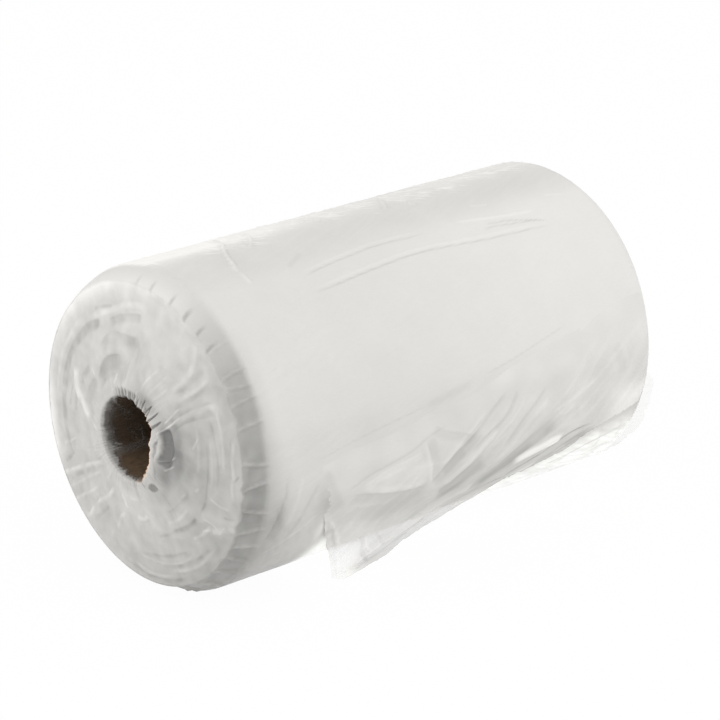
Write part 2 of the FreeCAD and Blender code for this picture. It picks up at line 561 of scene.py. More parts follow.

# Folds of the near end, each with its height, two widths, change of milkiness and points. Their
# milkiness is painted shade in dents and painted highlight on strands and ridges, and the white of
# film folded over
NEAR_FOLDS = [
    # the dents high on the far side, under the slack ring
    (-0.9, (0.9, 5.5), -0.15,
     [(57.4, 194), (57.4, 176), (57.6, 160), (57.4, 148), (57, 136), (56.6, 126), (54, 113)]),
    (-0.5, (2.5, 2.5), -0.08, [(55, 136), (54.4, 126), (54, 117)]),
    (0.9, (3.0, 1.5), 0.10, [(61, 180), (61, 160), (60, 145), (60, 130)]),
    (-0.6, (0.8, 2.0), -0.17, [(61.5, 121), (61, 115), (60.3, 106)]),
    (0.8, (2.6, 2.0), 0.14, [(58, 126), (57.5, 113), (58.5, 105), (61, 96), (63, 84)]),
    (-0.8, (0.8, 5.0), -0.15, [(54, 111), (56, 102), (57, 96), (59.4, 84)]),
    (-0.8, (1.0, 7.0), -0.13, [(42.4, 125), (47, 116), (48.6, 108), (47.6, 99), (47.6, 85)]),
    (-1.0, (0.8, 9.0), -0.19, [(30.5, 137), (36, 126), (38.2, 116), (38.4, 108), (38.2, 99)]),
    (-0.5, (1.0, 2.6), -0.08, [(27, 140), (29, 128), (30, 116), (30, 106)]),
    (0.8, (0.9, 0.9), 0.18, [(30.5, 104), (27.5, 107), (25.5, 111)]),
    (0.8, (0.9, 0.9), 0.18, [(23.5, 110), (22.5, 116), (21, 121)]),
    (-0.7, (0.8, 3.6), -0.14, [(41, 160), (42.4, 154), (41.8, 148), (41.2, 140)]),
    (-0.5, (1.0, 2.6), -0.13, [(45, 181), (44, 172), (45, 165)]),
    (-0.4, (1.0, 2.0), -0.10, [(50, 180), (48.5, 172), (48, 164)]),
    (-0.6, (0.8, 7.0), -0.10, [(25, 179), (31, 171), (34.3, 166), (34.6, 152), (33.8, 142), (29, 136)]),
    (-0.5, (2.0, 5.0), -0.08, [(50, 88), (42, 84), (34, 84)]),
    (-0.4, (2.0, 4.0), -0.08, [(46, 72), (38, 70), (32, 72)]),
    # strands that are drawn tight towards the mouth
    (1.3, (2.0, 5.0), 0.24, [(47, 152), (43, 162), (38, 166.5), (33.5, 169.5), (27, 176)]),
    (0.8, (1.0, 1.6), 0.16, [(31, 172), (26, 180), (22, 188)]),
    (0.7, (0.9, 1.4), 0.14, [(43, 139), (38, 138), (34, 138)]),
    (0.7, (1.4, 3.4), 0.10, [(70, 54), (60, 47), (50, 44.4), (40, 45.5)]),
    (-0.6, (1.6, 3.0), -0.09, [(66, 42.5), (58, 43), (50, 42.4), (43, 43)]),
    (0.7, (1.4, 2.2), 0.10, [(66, 39), (56, 38), (46, 38.6), (40, 40)]),
    (-0.5, (1.2, 2.4), -0.08, [(62, 36.6), (52, 35.4), (44, 35.4), (38, 36)]),
    (1.0, (3.4, 0.9), 0.16, [(66, 29), (56, 30), (46, 30), (39, 29), (34, 27.6)]),
    (1.3, (1.1, 0.8), 0.34, [(41, 30), (37, 28.4), (33, 26.4), (29, 24.6), (25, 23), (22.5, 21)]),
    (0.8, (0.8, 0.8), 0.20, [(42, 35), (37, 33), (33, 31), (29.5, 29)]),
    (-0.8, (1.0, 7.0), -0.13, [(62, 25), (50, 25.6), (40, 25), (33, 22)]),
    (0.8, (1.0, 1.4), 0.12, [(23, 75), (29, 70), (36, 66), (44, 62)]),
    (0.7, (1.0, 1.4), 0.10, [(28, 60), (36, 57), (45, 55)]),
    (0.7, (0.9, 1.2), 0.10, [(28, 53.5), (34, 51), (41, 49)]),
    (0.5, (1.0, 1.8), 0.10, [(22, 97), (28, 92), (36, 88), (46, 84)]),
    # straight wrinkles that fan down the far side
    (0.9, (0.9, 2.4), 0.22,
     [(70, -129.5), (65, -128), (57, -127), (48, -125), (42, -121), (36, -118), (30, -116)]),
    (-0.6, (2.4, 0.8), -0.12, [(66, -124), (56, -121), (46, -117)]),
    (0.7, (0.8, 1.8), 0.15, [(73, -138), (62, -136), (50, -132.5), (42, -130)]),
    (0.5, (0.8, 1.8), 0.10, [(72, -143), (60, -141.5), (48, -140), (38, -137), (30, -133)]),
    (1.0, (1.0, 2.6), 0.22,
     [(76, -149), (65, -148.5), (52, -147.5), (40, -145.5), (30, -142), (24, -138)]),
    (-0.6, (2.6, 0.8), -0.12, [(68, -144.5), (54, -143.5), (42, -141)]),
    (0.6, (0.8, 1.2), 0.14, [(62, -160), (54, -161), (46, -163)]),
    (-0.6, (1.4, 3.4), -0.13, [(57, -154), (56.5, -160), (56, -167), (57, -174)]),
    (-0.5, (2.0, 1.0), -0.14, [(66, -152), (60, -153), (52, -155)]),
    (0.9, (1.2, 2.0), 0.22, [(54, -108), (50, -107), (46, -106), (42, -103), (39.5, -99)]),
    (0.9, (1.2, 1.2), 0.18, [(36, -95), (32, -98), (29, -102)]),
    (0.8, (1.2, 2.2), 0.14, [(37, -72), (39, -79), (38.5, -86)]),
    (0.5, (1.6, 1.6), 0.08, [(28, -66), (29, -80), (30, -94)]),
    # turn edges that show through, low on the near side
    (-0.7, (2.8, 0.8), -0.20, [(50, -31), (49.6, -36), (48, -45), (45.6, -55)]),
    (-0.5, (1.4, 0.7), -0.13, [(52, 13), (51.5, 0), (51.3, -10), (52, -19), (51, -29)]),
    (0.5, (0.9, 1.6), 0.08, [(55, 16), (54.5, 2), (54.3, -12)]),
    (-0.5, (2.0, 0.8), -0.12, [(47, -50), (46.6, -62), (46.6, -70)]),
    (0.7, (1.0, 1.8), 0.12, [(54.5, -44), (57, -36), (58.5, -28)]),
    (0.6, (1.0, 1.0), 0.12, [(58, -92), (60, -75), (61, -60), (60, -48)]),
    (-0.5, (2.2, 0.8), -0.12, [(57.5, -52), (56.6, -64), (56.4, -78), (57, -90)]),
    (-0.5, (2.2, 0.8), -0.12, [(63.5, -38), (62.5, -50), (61.4, -66), (61.4, -74)]),
    (0.6, (1.0, 2.0), 0.12, [(66, -34), (66, -48), (65, -60), (64, -72)]),
    (-0.6, (2.4, 1.0), -0.14, [(68, -60), (68.5, -76), (68, -92), (66, -104)]),
    (0.6, (0.9, 1.8), 0.12, [(65, -96), (66.4, -84), (66.4, -70)]),
    (0.5, (1.4, 1.4), 0.10, [(45, -30), (44, -44), (42, -56)]),
    (-0.4, (2.4, 1.0), -0.09, [(42, -20), (40, -34), (38, -50)]),
    (0.3, (1.2, 1.2), 0.10, [(41.5, -23), (40.4, -25), (39.6, -28)]),
    (0.3, (1.2, 1.2), 0.10, [(47.5, -13), (46.6, -15), (45.6, -17)]),
    # film folded over just inside the rim
    (0.9, (1.4, 2.0), 0.14, [(70, 16), (68, 11), (66.5, 6), (67, 0), (66, -5), (68, -11)]),
    (-0.4, (0.8, 0.8), -0.16, [(70, 1), (68, -1), (66, -2.5)]),
    (0.9, (1.6, 2.6), 0.18, [(75, -21), (70, -22.5), (66, -25), (63, -28.5), (60, -31)]),
    (0.6, (0.8, 1.0), 0.14, [(66, -23), (65, -26), (64.4, -29)]),
    (0.6, (0.7, 1.0), 0.14, [(60, -30), (57.5, -32.5), (56, -35)]),
    (0.5, (0.8, 1.0), 0.14, [(63, -27), (58, -27), (54, -28)]),
    (0.5, (0.8, 1.0), 0.14, [(66, -15), (60, -16), (54, -15)]),
    (-0.4, (1.0, 1.0), -0.12, [(70, -17), (66, -19), (63, -20)]),
    (0.5, (1.0, 1.6), 0.10, [(63, 28), (62, 14), (61, 0)]),
    (-0.4, (1.0, 1.6), -0.08, [(57, 26), (57.6, 14), (58, 0), (57, -10)]),
    (0.4, (1.4, 1.4), 0.07, [(48, 22), (47, 8), (46, -6)]),
    (0.5, (1.0, 1.0), 0.12, [(48, 16), (45.5, 12), (43.5, 9)]),
]

# The pocket beside the mouth, sunk and painted dark with shade, with the streaks across its lower
# end
NEAR_HOLLOWS = [
    (-1.4, (6.0, 1.0), -0.42, [(26, 25), (26.8, 17), (26.4, 6), (25.6, -3), (25, -10), (25.6, -16)]),
    (-0.4, (4.0, 2.0), -0.14, [(27, 22), (28, 14), (28.2, 2), (27.2, -8), (26, -13)]),
    (-0.4, (7.5, 5.0), -0.12, [(31, 27), (31.6, 12), (31.4, -6), (29, -20)]),
    (0.7, (0.7, 0.9), 0.26, [(32.8, 1), (29.6, -4), (27, -7.5), (24, -12)]),
    (0.5, (0.6, 0.8), 0.22, [(32.5, -7), (29.5, -12), (27, -17)]),
    # the crumpled lip between the mouth and the pocket, with painted highlights and painted shade
    (1.0, (0.9, 1.0), 0.16, [(23.6, 28), (25.2, 20), (25.4, 12), (25.0, 4), (24.2, -6), (23.8, -16)]),
    (-0.8, (1.0, 0.9), -0.40, [(24.6, 15), (23.6, 8), (23.0, 0), (22.9, -7), (23.3, -13)]),
    (0.7, (0.6, 0.7), 0.16, [(25.6, 26), (24.8, 19), (23.4, 13)]),
    (0.5, (0.6, 0.6), 0.18, [(20.6, 20), (22.4, 11), (24.4, 6)]),
    (-0.3, (0.6, 1.0), -0.14, [(21.6, -2), (22.6, -14), (24.2, -28), (25.6, -38)]),
]

# Dark gaps between the pleats beside the lip, painted with shade: angle, lean, outer radius and
# half-width
GAP_START = 20.5  # the radius at which they start
PLEAT_GAPS = [
    (30, 0.3, 29.5, 1.3),
    (39.5, 0.1, 31, 0.8),
    (46, 0.5, 26, 0.5),
    (51, -0.2, 28, 1.2),
    (57, 0.5, 26.5, 0.8),
    (-61, 0.3, 24.6, 0.6),
    (-72, -0.2, 24, 0.5),
]
# Thin bright pleats that cross the brown edge of the core, which shows through above the lip:
# angle and half-width
LIP_PLEATS = [(49, 0.5), (55, 0.9), (59.5, 0.4), (63, 0.8), (66, 0.3), (71, 1.0), (77, 0.4)]
LIP_PLEATS += [(80, 0.5), (87, 1.1), (93, 0.5), (99, 0.9), (105, 0.6)]
LIP_PLEAT_START = 21.0  # the radius at which they start
CORE_SEEN_OUT_TO = 23.6  # the radius up to which that edge shows

# Ribs where the film bridges from the middle turns to the outer ones: angle and lean
RIBS = [(47.5, 1), (37, 1), (32.5, -1), (27, 1), (18.5, 1), (5, -1), (-3.5, 2), (-13, -1)]
RIBS += [(-22, 2), (-29, 1), (-36, -1), (-45, 1), (-58, 2), (-70, -1), (-84, 1), (-98, 1)]
RIBS += [(-112, -2), (-126, 1), (-140, 1)]
# Slits beside those ribs, high up, sunk and painted with shadow: angle, half-width and depth
SLITS = [(92, 1.3, 0.14), (84, 1.5, 0.20), (72.7, 1.4, 0.26), (64, 1.8, 0.28), (55.8, 1.4, 0.22)]
SLITS += [(48.5, 1.3, 0.18)]
# Painted shade of the hollow that the film bridges, as its milkiness by angle, lighter over the top
BRIDGE_SHADING = [(-180, 0.22), (-145, 0.22), (-128, 0.34), (-112, 0.40), (-95, 0.40), (-75, 0.36)]
BRIDGE_SHADING += [(-58, 0.30), (-50, 0.20), (-35, 0.21), (-25, 0.23), (-15, 0.17), (-5, 0.18)]
BRIDGE_SHADING += [(5, 0.24), (15, 0.24), (25, 0.25), (35, 0.28), (45, 0.38), (52, 0.46), (60, 0.53)]
BRIDGE_SHADING += [(72, 0.62), (130, 0.62), (180, 0.22)]


def near_face(radius, angle):
    """Height and change of milkiness of the creased film over the flat of the near end."""
    x, y = end_chart(radius, angle)
    height, milk = laid_folds(NEAR_FOLDS, x, y, end_chart)
    hollow, hollow_milk = laid_folds(NEAR_HOLLOWS, x, y, end_chart)
    broken = np.clip(0.8 + 0.7 * noise_field(34, x / 6, y / 6), 0.25, 1.3)
    swell = noise_field(31, x / 10, y / 10)
    blotch = noise_field(35, x / 5, y / 5)
    fine = np.clip(creases(32, x / 8, y / 8) - 0.55, 0, None)
    spokes = np.clip(creases(33, angle / 9 + radius / 34, radius / 24) - 0.35, 0, None)
    fan = fanned_wrinkles(radius, angle, NEAR_WRINKLES, 41)
    height = 0.6 * broken * height + hollow + 0.3 * fan + 0.6 * swell + 0.4 * fine
    milk = broken * milk + hollow_milk + shades(NEAR_PAINTED_SHADING, radius, angle, wrap=True)
    milk += 0.08 * swell + 0.06 * blotch + 0.03 * fine + 0.04 * fan + 0.02 * spokes
    return height, milk


def near_end_shape(along, marks, radius, angle):
    """Height and milkiness of the film over the near end, from the tuck to the shoulder."""
    reach = along - marks["near_lip"]
    face = smooth_step(0, 3, reach) * smooth_step(marks["near_rim"] + 3, marks["near_rim"] - 1, along)
    height, milk = near_face(radius, angle)
    height, milk = face * height, NEAR_MILK + face * milk
    # the pleats are calmer beside the dark pocket, and on the far side of the mouth
    calm = 1 - 0.9 * smooth_step(46, 36, radius) * facing(angle, 2, 22, 32)
    calm *= 1 - 0.65 * facing(angle, 188, 60, 95)
    pleats = gathered_pleats(reach, radius, angle, NEAR_PLEATS, 21)
    height += pleats * calm
    # painted highlight on the pleats' crests and painted shade between them, near the lip
    milk += 0.10 * calm * (pleats - 0.3) * smooth_step(16, 2, np.abs(reach))
    # painted shade in the gaps between pleats, and the darker film over the core
    gap = pleat_gaps(radius, angle)
    height -= 0.6 * gap
    milk -= 0.30 * gap
    outer = marks["shoulder"] + 1.6 * noise_field(64, angle / 4)
    bridge = smooth_step(marks["near_rim"] - 2.6, marks["near_rim"] - 0.2, along)
    bridge *= smooth_step(outer + 4, outer - 2, along)
    bridge_height, bridge_milk, painted = bridge_shape(radius, angle)
    return mixed(height, bridge_height, bridge), mixed(milk, bridge_milk, bridge * painted)


def bridge_shape(radius, angle):
    """Height and milkiness of the film that bridges from the middle turns to the outer ones.

    Its milkiness is painted shade of the hollow below, with painted light over the top, painted
    highlights on the ribs and painted shadow in the slits. The third result is 1 where that
    milkiness shows, past a ragged inner edge.
    """
    share = np.clip((radius - STEP_RADIUS) / OUTER_TURNS, -0.5, 1)
    rib, rib_width = np.zeros(angle.shape), 1.1
    for centre, lean in RIBS:
        off = np.abs(arc(radius, angle, centre + 1.6 * lean * (share - 0.5)))
        rib = np.maximum(rib, np.clip(1 - off / rib_width, 0, 1))
    slit = np.zeros(angle.shape)
    for centre, wide, dark in SLITS:
        off = np.abs(arc(radius, angle, centre + 2.0 * (share - 0.3)))
        slit = np.maximum(slit, dark * smooth_step(wide, 0.2 * wide, off))
    slit *= between(share, -0.5, -0.1, 0.3, 0.8)
    bite = noise_field(61, angle / 6) + 0.5 * noise_field(62, angle / 2.6)
    start = 0.02 - 0.36 * np.clip(bite, -0.4, 1)
    painted = 0.6 * smooth_step(start - 0.13, start + 0.10, share)
    painted += 0.4 * smooth_step(-0.45, 0.5, share)
    # the film sinks between the ribs, more so away from the top
    low = np.clip((np.abs(turned(angle, 90)) - 40) / 45, 0, 1) ** 0.8
    sunk = smooth_step(-0.05, 0.45, share)
    raised = rib * (1 - 0.8 * smooth_step(-75, -90, angle))
    height = -sunk * (0.4 + 1.2 * low) * (1 - raised) + 0.3 * raised * sunk - slit
    blotch = noise_field(63, angle / 5, share * 2)
    lit = between(angle, 55, 80, 150, 172)
    milk = read_curve(BRIDGE_SHADING, angle) + 0.16 * lit * (1 - share) - 0.09 * blotch * low
    milk += rib * painted * (0.05 + 0.08 * low) - slit
    return height, milk, painted


def pleat_gaps(radius, angle):
    """1 where film round the near lip is dark: in the gaps between pleats, painted with shade, and over
    the core, whose edge shows through.
    """
    level = np.zeros(radius.shape)
    for centre, lean, outer, half_width in PLEAT_GAPS:
        share = np.clip((radius - GAP_START) / (outer - GAP_START), 0, 1)
        off = np.abs(arc(radius, angle, centre + lean * (radius - GAP_START)))
        part = np.clip(1.4 * (1 - off / (half_width * (1.05 - 0.75 * share))), 0, 1)
        outside = radius > LINING_RADIUS + 0.15
        level = np.maximum(level, 0.8 * part * smooth_step(1, 0.7, share) * outside)
    edge = CORE_SEEN_OUT_TO + 1.3 * noise_field(73, angle / 2.5)
    veil = smooth_step(edge + 1.2, edge - 0.6, radius) * between(angle, 44, 56, 100, 116)
    for centre, half_width in LIP_PLEATS:
        off = np.abs(arc(radius, angle, centre + 0.5 * (radius - LIP_PLEAT_START)))
        veil = veil * (1 - 0.85 * np.clip(1.3 * (1 - off / half_width), 0, 1))
    return np.maximum(level, 0.7 * veil)


# How far the near lip's inner edge is drawn in towards the axis, by angle: it hangs like a chord
MOUTH_PULL = [(-62, 0.3), (-50, 1.4), (-32, 2.5), (-20, 3.6), (-8, 4.4), (0, 3.6), (8, 4.8)]
MOUTH_PULL += [(14, 3.4), (20, 1.9), (25, 0.8), (32, 0)]


def mouth_pull(angle):
    """How far in the near lip's edge hangs, with the raggedness that it has there."""
    pull = read_curve(MOUTH_PULL, angle)
    return pull + 0.35 * noise_field(71, angle / 2.2) * np.clip(pull, 0, 1)


# The far end -----------------------------------------------------------------------------------

FAR_PLEATS, FAR_WRINKLES = 58, 130
FAR_MILK = 0.62


def far_end_shape(along, marks, radius, angle):
    """Height and milkiness of the film over the far end, which is gathered more plainly."""
    reach = marks["far_lip"] - along
    face = smooth_step(0, 4, reach) * smooth_step(marks["far_rim"] - 1, marks["far_rim"] + 3, along)
    x, y = end_chart(radius, angle)
    swell = noise_field(33, x / 12, y / 12)
    height = gathered_pleats(reach, radius, angle, FAR_PLEATS, 22)
    height += face * (1.3 * fanned_wrinkles(radius, angle, FAR_WRINKLES, 42) + 0.25 * swell)
    # painted highlight on the wrinkles' crests
    milk = FAR_MILK + face * (0.03 * swell + 0.16 * np.clip(height, 0, 0.8))
    return height, milk


# The round of the roll -------------------------------------------------------------------------

BODY_MILK = 0.665
BODY_SLANT, FOOT_SLANT = (0.93, 0.36), (0.9, -0.44)  # directions of its finest creases
BACK_ANGLE = -120.0  # what is drawn low on the front stops here, under the roll

# Folds of the body, in the same form, on a flat chart: the station, and the distance round the
# roll from its front. Their milkiness is painted shade in creases and painted highlight on ridges,
# and the white of the hairs along the top
BODY_FOLDS = [
    (-0.25, (0.6, 0.9), -0.15,
     [(61, 75), (80, 76.4), (100, 78.6), (125, 80.6), (146, 80.2), (175, 77.8), (200, 76.6), (219, 75)]),
    (0.2, (1.4, 1.2), 0.05,
     [(61, 77), (80, 78.4), (100, 80.6), (125, 82.6), (146, 82.2), (175, 79.8), (200, 78.4), (218, 76.6)]),
    (-0.2, (0.6, 0.9), -0.13, [(66, 85.5), (80, 88), (96, 90), (114, 92), (130, 91.6), (146, 91)]),
    (0.2, (1.4, 1.0), 0.05, [(66, 87.5), (80, 90), (96, 92), (114, 94), (130, 93.6), (146, 93)]),
    (-0.3, (0.6, 0.8), -0.14, [(176, 83.5), (186, 83.6), (198, 82), (212, 80.6)]),
    (-0.3, (0.6, 0.8), -0.14, [(180, 86.4), (194, 85), (206, 81.6), (216, 78)]),
    (0.35, (1.4, 1.2), 0.09, [(166, 92.8), (180, 90.4), (196, 87.8), (214, 86)]),
    (0.3, (1.0, 1.0), 0.09, [(183, 101), (188, 99.6), (193, 98.4)]),
    (0.3, (1.0, 1.0), 0.07, [(226, 94.5), (231, 93), (237, 91.5)]),
    (-0.2, (0.5, 0.8), -0.07, [(38, 0), (60, 4), (88, 7.5), (108, 9.6)]),
    (-0.2, (0.5, 0.8), -0.09, [(138, 14.5), (160, 18), (180, 22.5), (198, 26.4)]),
    (-0.15, (1.5, 4.0), -0.05, [(104, 10), (116, 11.6), (134, 14)]),
    (-0.15, (1.2, 3.0), -0.05, [(64, 94), (71, 98), (78, 102)]),
    # soft slanting wrinkles low on the front, beside the shoulder
    (-0.4, (1.6, 1.0), -0.09, [(14, -36), (18, -24), (21, -12), (22, -2)]),
    (0.4, (1.4, 1.4), 0.07, [(20, -38), (25, -27), (28, -16), (30, -4)]),
    (-0.4, (2.4, 1.2), -0.08, [(27, -40), (32, -30), (36, -20), (41, -10)]),
    (0.4, (1.2, 1.6), 0.07, [(17, -44), (26, -40), (36, -34), (44, -28)]),
    # hairs and crumples along the top
    (1.6, (1.0, 1.3), 0.30, [(39.5, 98), (41, 105), (45, 115), (50, 123), (54, 130), (53.5, 141)]),
    (0.6, (0.8, 0.8), 0.12, [(41, 88), (40, 94), (41, 101)]),
    (1.4, (1.0, 1.4), 0.26, [(61, 117), (65, 122), (69, 128), (72, 138)]),
    (1.2, (1.0, 1.2), 0.22, [(103, 134), (107, 128), (113, 122)]),
    (1.4, (1.0, 1.2), 0.22, [(145, 118), (149, 125), (153, 132), (157, 140)]),
    (1.0, (1.0, 1.4), 0.18, [(154, 124), (159, 118), (161, 114)]),
    (-0.8, (2.0, 1.4), -0.10, [(227, 9), (230, 2), (231, -6)]),
]

# Two places of painted shade at the film's foot, beside the shoulder
BODY_PAINTED_SHADE = [(19, -24, 3.2, 10, -0.20), (47, -24, 7, 11, -0.20)]


def body_shape(points, station, angle):
    """Height and milkiness of the film on the round of the roll."""
    across = np.radians(angle) * FILM_RADIUS
    height, milk = laid_folds(BODY_FOLDS, station, across)
    swell = noise_field(3, points[:, 0] * 22, points[:, 1] * 26, points[:, 2] * 26)
    length, width = slanted(station, across, BODY_SLANT)
    slanting = np.clip(creases(5, length / 46, width / 4.2) - 0.62, 0, None) / 0.38
    patches = noise_field(9, station / 30, across / 30)
    height += 0.3 * swell + 0.2 * slanting * (0.25 + 0.75 * smooth_step(-0.1, 0.4, patches))
    crumple = creases(11, (station - across * 0.8) / 8, across / 20)
    crumple += 0.6 * creases(12, (station - across * 0.9) / 4, across / 12)
    crumple = np.clip(crumple - 0.95, 0, None)
    height += 0.6 * crumple * between(angle, 82, 96, 118, 150) * smooth_step(12, 30, station)
    milk += top_milk(station, angle, crumple)
    # painted light: the plain front is painted whiter than the top and the foot, most of all towards
    # the far end
    front = between(angle, 6, 16, 66, 82)
    milk += BODY_MILK + front * (0.035 + 0.085 * smooth_step(60, 230, station))
    milk += 0.03 * patches * (1 - 0.6 * front) + 0.02 * slanting * (1 - front)
    milk = foot_milk(station, angle, across, milk)
    # film that lies under the flap has to stay flat
    under_flap = (angle < 29) & (angle > -110) & (station > 37)
    return np.where(under_flap, np.clip(height, -0.1, 0.12), height), milk


def top_milk(station, angle, crumple):
    """Painted light that the top adds, most of it where it is crumpled and near the shoulder, with a
    little painted shade just below it.
    """
    crown = between(angle, 88, 101, 115, 150)
    milk = crown * (0.10 + 0.16 * smooth_step(140, 60, station) + 0.12 * np.clip(crumple, 0, 1))
    milk += 0.26 * between(angle, 93, 103, 112, 150) * smooth_step(70, 30, station)
    return milk - 0.03 * between(angle, 64, 74, 84, 92)


def foot_milk(station, angle, across, milk):
    """Milkiness with painted shade on the shoulder and the foot, their pale streaks, and the painted
    light below.
    """
    above_back = angle > BACK_ANGLE
    shoulder = smooth_step(30 - 0.5 * angle, 6, station) * smooth_step(40, -35, angle)
    milk = milk - 0.26 * shoulder * above_back
    milk -= 0.07 * smooth_step(20, 12, station) * between(angle, -60, -45, 36, 58)
    streak = creases(14, (station + 0.5 * across) / 5, (across - station) / 22)
    streak = np.clip(streak - 0.2, 0, None)
    foot = smooth_step(-4, -26, angle) * smooth_step(70, 45, station) * above_back
    milk += shades(BODY_PAINTED_SHADE, station, across) - 0.10 * foot * (1 - 0.8 * streak)
    return mixed(milk, 1.0 - 0.10 * streak, lower_painted_light(station, angle))


# Faint grey wisps low on the front, most of them towards the far end, on the same chart:
# half-width, darkness and points
FAR_WISPS = [
    (1.2, 0.16, [(196, -58), (212, -53), (230, -46), (250, -40)]),
    (0.9, 0.14, [(206, -66), (224, -62), (244, -54)]),
    (1.6, 0.14, [(226, -38), (236, -42), (250, -44)]),
    (0.8, 0.18, [(226, -34), (231, -44), (233, -56)]),
    (0.8, 0.16, [(240, -34), (244, -44), (246, -58)]),
    (0.9, 0.22, [(198, -46), (214, -41), (230, -35), (244, -31)]),
    (0.7, 0.20, [(204, -62), (220, -50), (236, -45)]),
    (1.4, 0.16, [(214, -33), (226, -31), (238, -28)]),
    (1.0, 0.12, [(46, -40), (52, -50), (56, -60)]),
]

# The upper edge of the painted light low on the front: its angle, by station
PAINTED_LIGHT_EDGE = [(41, -34), (52, -33), (62, -27), (70, -22), (90, -30), (150, -38), (190, -33)]
PAINTED_LIGHT_EDGE += [(215, -26), (250, -22)]
# A painted pool of light beside the top of the flap's near edge, which lightens the shadow there
FLAP_ROOT_PAINTED_LIGHT = [(50, -30, 3, 6, 0.35)]


def lower_painted_light(station, angle):
    """1 low on the front, where one thin layer of film lies over the bags: there painted light makes the
    film whiter and glow, for the light that fills it.
    """
    edge = read_curve(PAINTED_LIGHT_EDGE, station)
    level = smooth_step(edge + 2, edge - 12, angle) * smooth_step(46, 60, station)
    across = np.radians(angle) * FILM_RADIUS
    for half_width, dark, points in FAR_WISPS:
        wisp = fold(rounded_path(points), (half_width, 2 * half_width), station, across)
        level = level * (1 - 2.4 * dark * wisp)
    length, width = slanted(station, across, FOOT_SLANT)
    thin = np.clip(creases(18, length / 24, width / 3.2), 0, None)
    level = level * (1 - 0.45 * thin * smooth_step(150, 190, station)) * (angle > BACK_ANGLE)
    return np.maximum(level, shades(FLAP_ROOT_PAINTED_LIGHT, station, angle))


# The whole film --------------------------------------------------------------------------------


def film():
    """The whole film, crumpled, as a mesh with the attributes that its material reads."""
    line = film_line()
    travel = distance_along(line)
    normals = outward(line)
    marks = film_marks(line, travel)
    mesh = ringed_mesh("film", line, FILM_SEGMENTS)
    along = read_attribute(mesh, "along")
    points = read_vectors(mesh, "co")
    station, radius, angle = places_of(points)
    body_start, body_full = marks["shoulder"] - SHAPE_BLEND, marks["shoulder"] + SHAPE_BLEND
    body_fade, body_end = marks["far_rim"] - 1, marks["far_rim"] + SHAPE_BLEND
    near, far = along < body_full, along > body_fade
    body = (along > body_start) & (along < body_end)
    on_body = between(along, body_start, body_full, body_fade, body_end)
    shapes = [
        (near, 1 - on_body, near_end_shape(along[near], marks, radius[near], angle[near])),
        (far, 1 - on_body, far_end_shape(along[far], marks, radius[far], angle[far])),
        (body, on_body, body_shape(points[body], station[body], angle[body])),
    ]
    height, milk = np.zeros(len(points)), np.zeros(len(points))
    for part, weight, (part_height, part_milk) in shapes:
        height[part] += part_height * weight[part]
        milk[part] += part_milk * weight[part]
    cover, warm, milk = film_paint(along, marks, radius, angle, milk)
    station += height * np.interp(along, travel, normals[:, 0])
    radius += height * np.interp(along, travel, normals[:, 1])
    keep_off_roll(along, marks, station, radius)
    reach = along - marks["near_lip"]
    radius -= mouth_pull(angle) * between(reach, -9, -1, 0.8, 6.5)
    over_core = (reach > -1) & (reach < 9) & (radius < CORE_RADIUS + 1.3)
    station[over_core] = np.minimum(station[over_core], CORE_NEAR - 0.35)
    write_points(mesh, place(station, radius, angle))
    paint(
        mesh,
        milk=milk,
        cover=cover,
        warm=warm,
        glow=lower_painted_light(station, angle) * on_body,
        haired=top_hairs(station, angle) * on_body,
    )
    return mesh, marks


def top_hairs(station, angle):
    """1 in the patches along the top where torn hairs of film lie."""
    patches = noise_field(17, station / 16, angle / 12)
    crown = smooth_step(84, 98, angle + 4 * patches) * smooth_step(122, 104, angle)
    return crown * smooth_step(-0.5, 0.25, patches)


def roll_end(radius):
    """Station of the near end of the middle turns, which the slide has made a shallow cone."""
    return -INNER_SLIDE * np.clip((STEP_RADIUS - radius) / (STEP_RADIUS - CORE_RADIUS), 0, 1)


def keep_off_roll(along, marks, station, radius):
    """Moves film that dips into the roll, the core or the bore's wall back out, in place."""
    gap = 0.25
    near = (along > marks["near_lip"]) & (along < marks["near_rim"])
    station[near] = np.minimum(station[near], roll_end(radius[near]) - gap)
    far = (along > marks["far_rim"] + 2) & (along < marks["far_lip"])
    station[far] = np.maximum(station[far], WEB_WIDTH + roll_end(radius[far]) + gap)
    step = (along >= marks["near_rim"] - 1) & (along < marks["shoulder"]) & (station > -0.3)
    radius[step] = np.maximum(radius[step], STEP_RADIUS + 0.35)
    body = (along > marks["shoulder"]) & (along < marks["far_rim"])
    radius[body] = np.maximum(radius[body], ROLL_RADIUS + 0.1)
    tuck = (along < marks["near_lip"] - 2.5) | (along > marks["far_lip"] + 2.5)
    radius[tuck] = np.minimum(radius[tuck], BORE_RADIUS - 0.1)


# Depth inside the near mouth down to which the film is still white, by angle
TUCK_EDGE = [(-180, 2.4), (-170, 2.6), (-145, 4.4), (-122, 3.2), (-96, 2.2), (-65, -0.2), (-40, 0.4)]
TUCK_EDGE += [(0, 0.6), (30, 0.2), (91, 0.0), (130, 0.4), (155, 1.4), (180, 2.0)]

# Streaks of film on the bore's wall, as cover: half-width, cover, and (depth, angle) points
BORE_STREAKS = [
    (1.0, 0.26, [(-1, 112), (1.0, 120), (4, 136), (8, 150), (13, 163), (18, 176)]),
    (1.4, 0.20, [(15, 188), (17.4, 199), (18.6, 212)]),
    (1.2, 0.30, [(21.8, 192), (21.8, 204), (21.6, 214)]),
    (3.6, 0.22, [(4, 219), (14, 219.5), (25, 219)]),
    (0.7, 0.30, [(6, 206), (8, 209), (10, 211)]),
    (3.0, 0.08, [(0, 140), (8, 162), (20, 184)]),
]


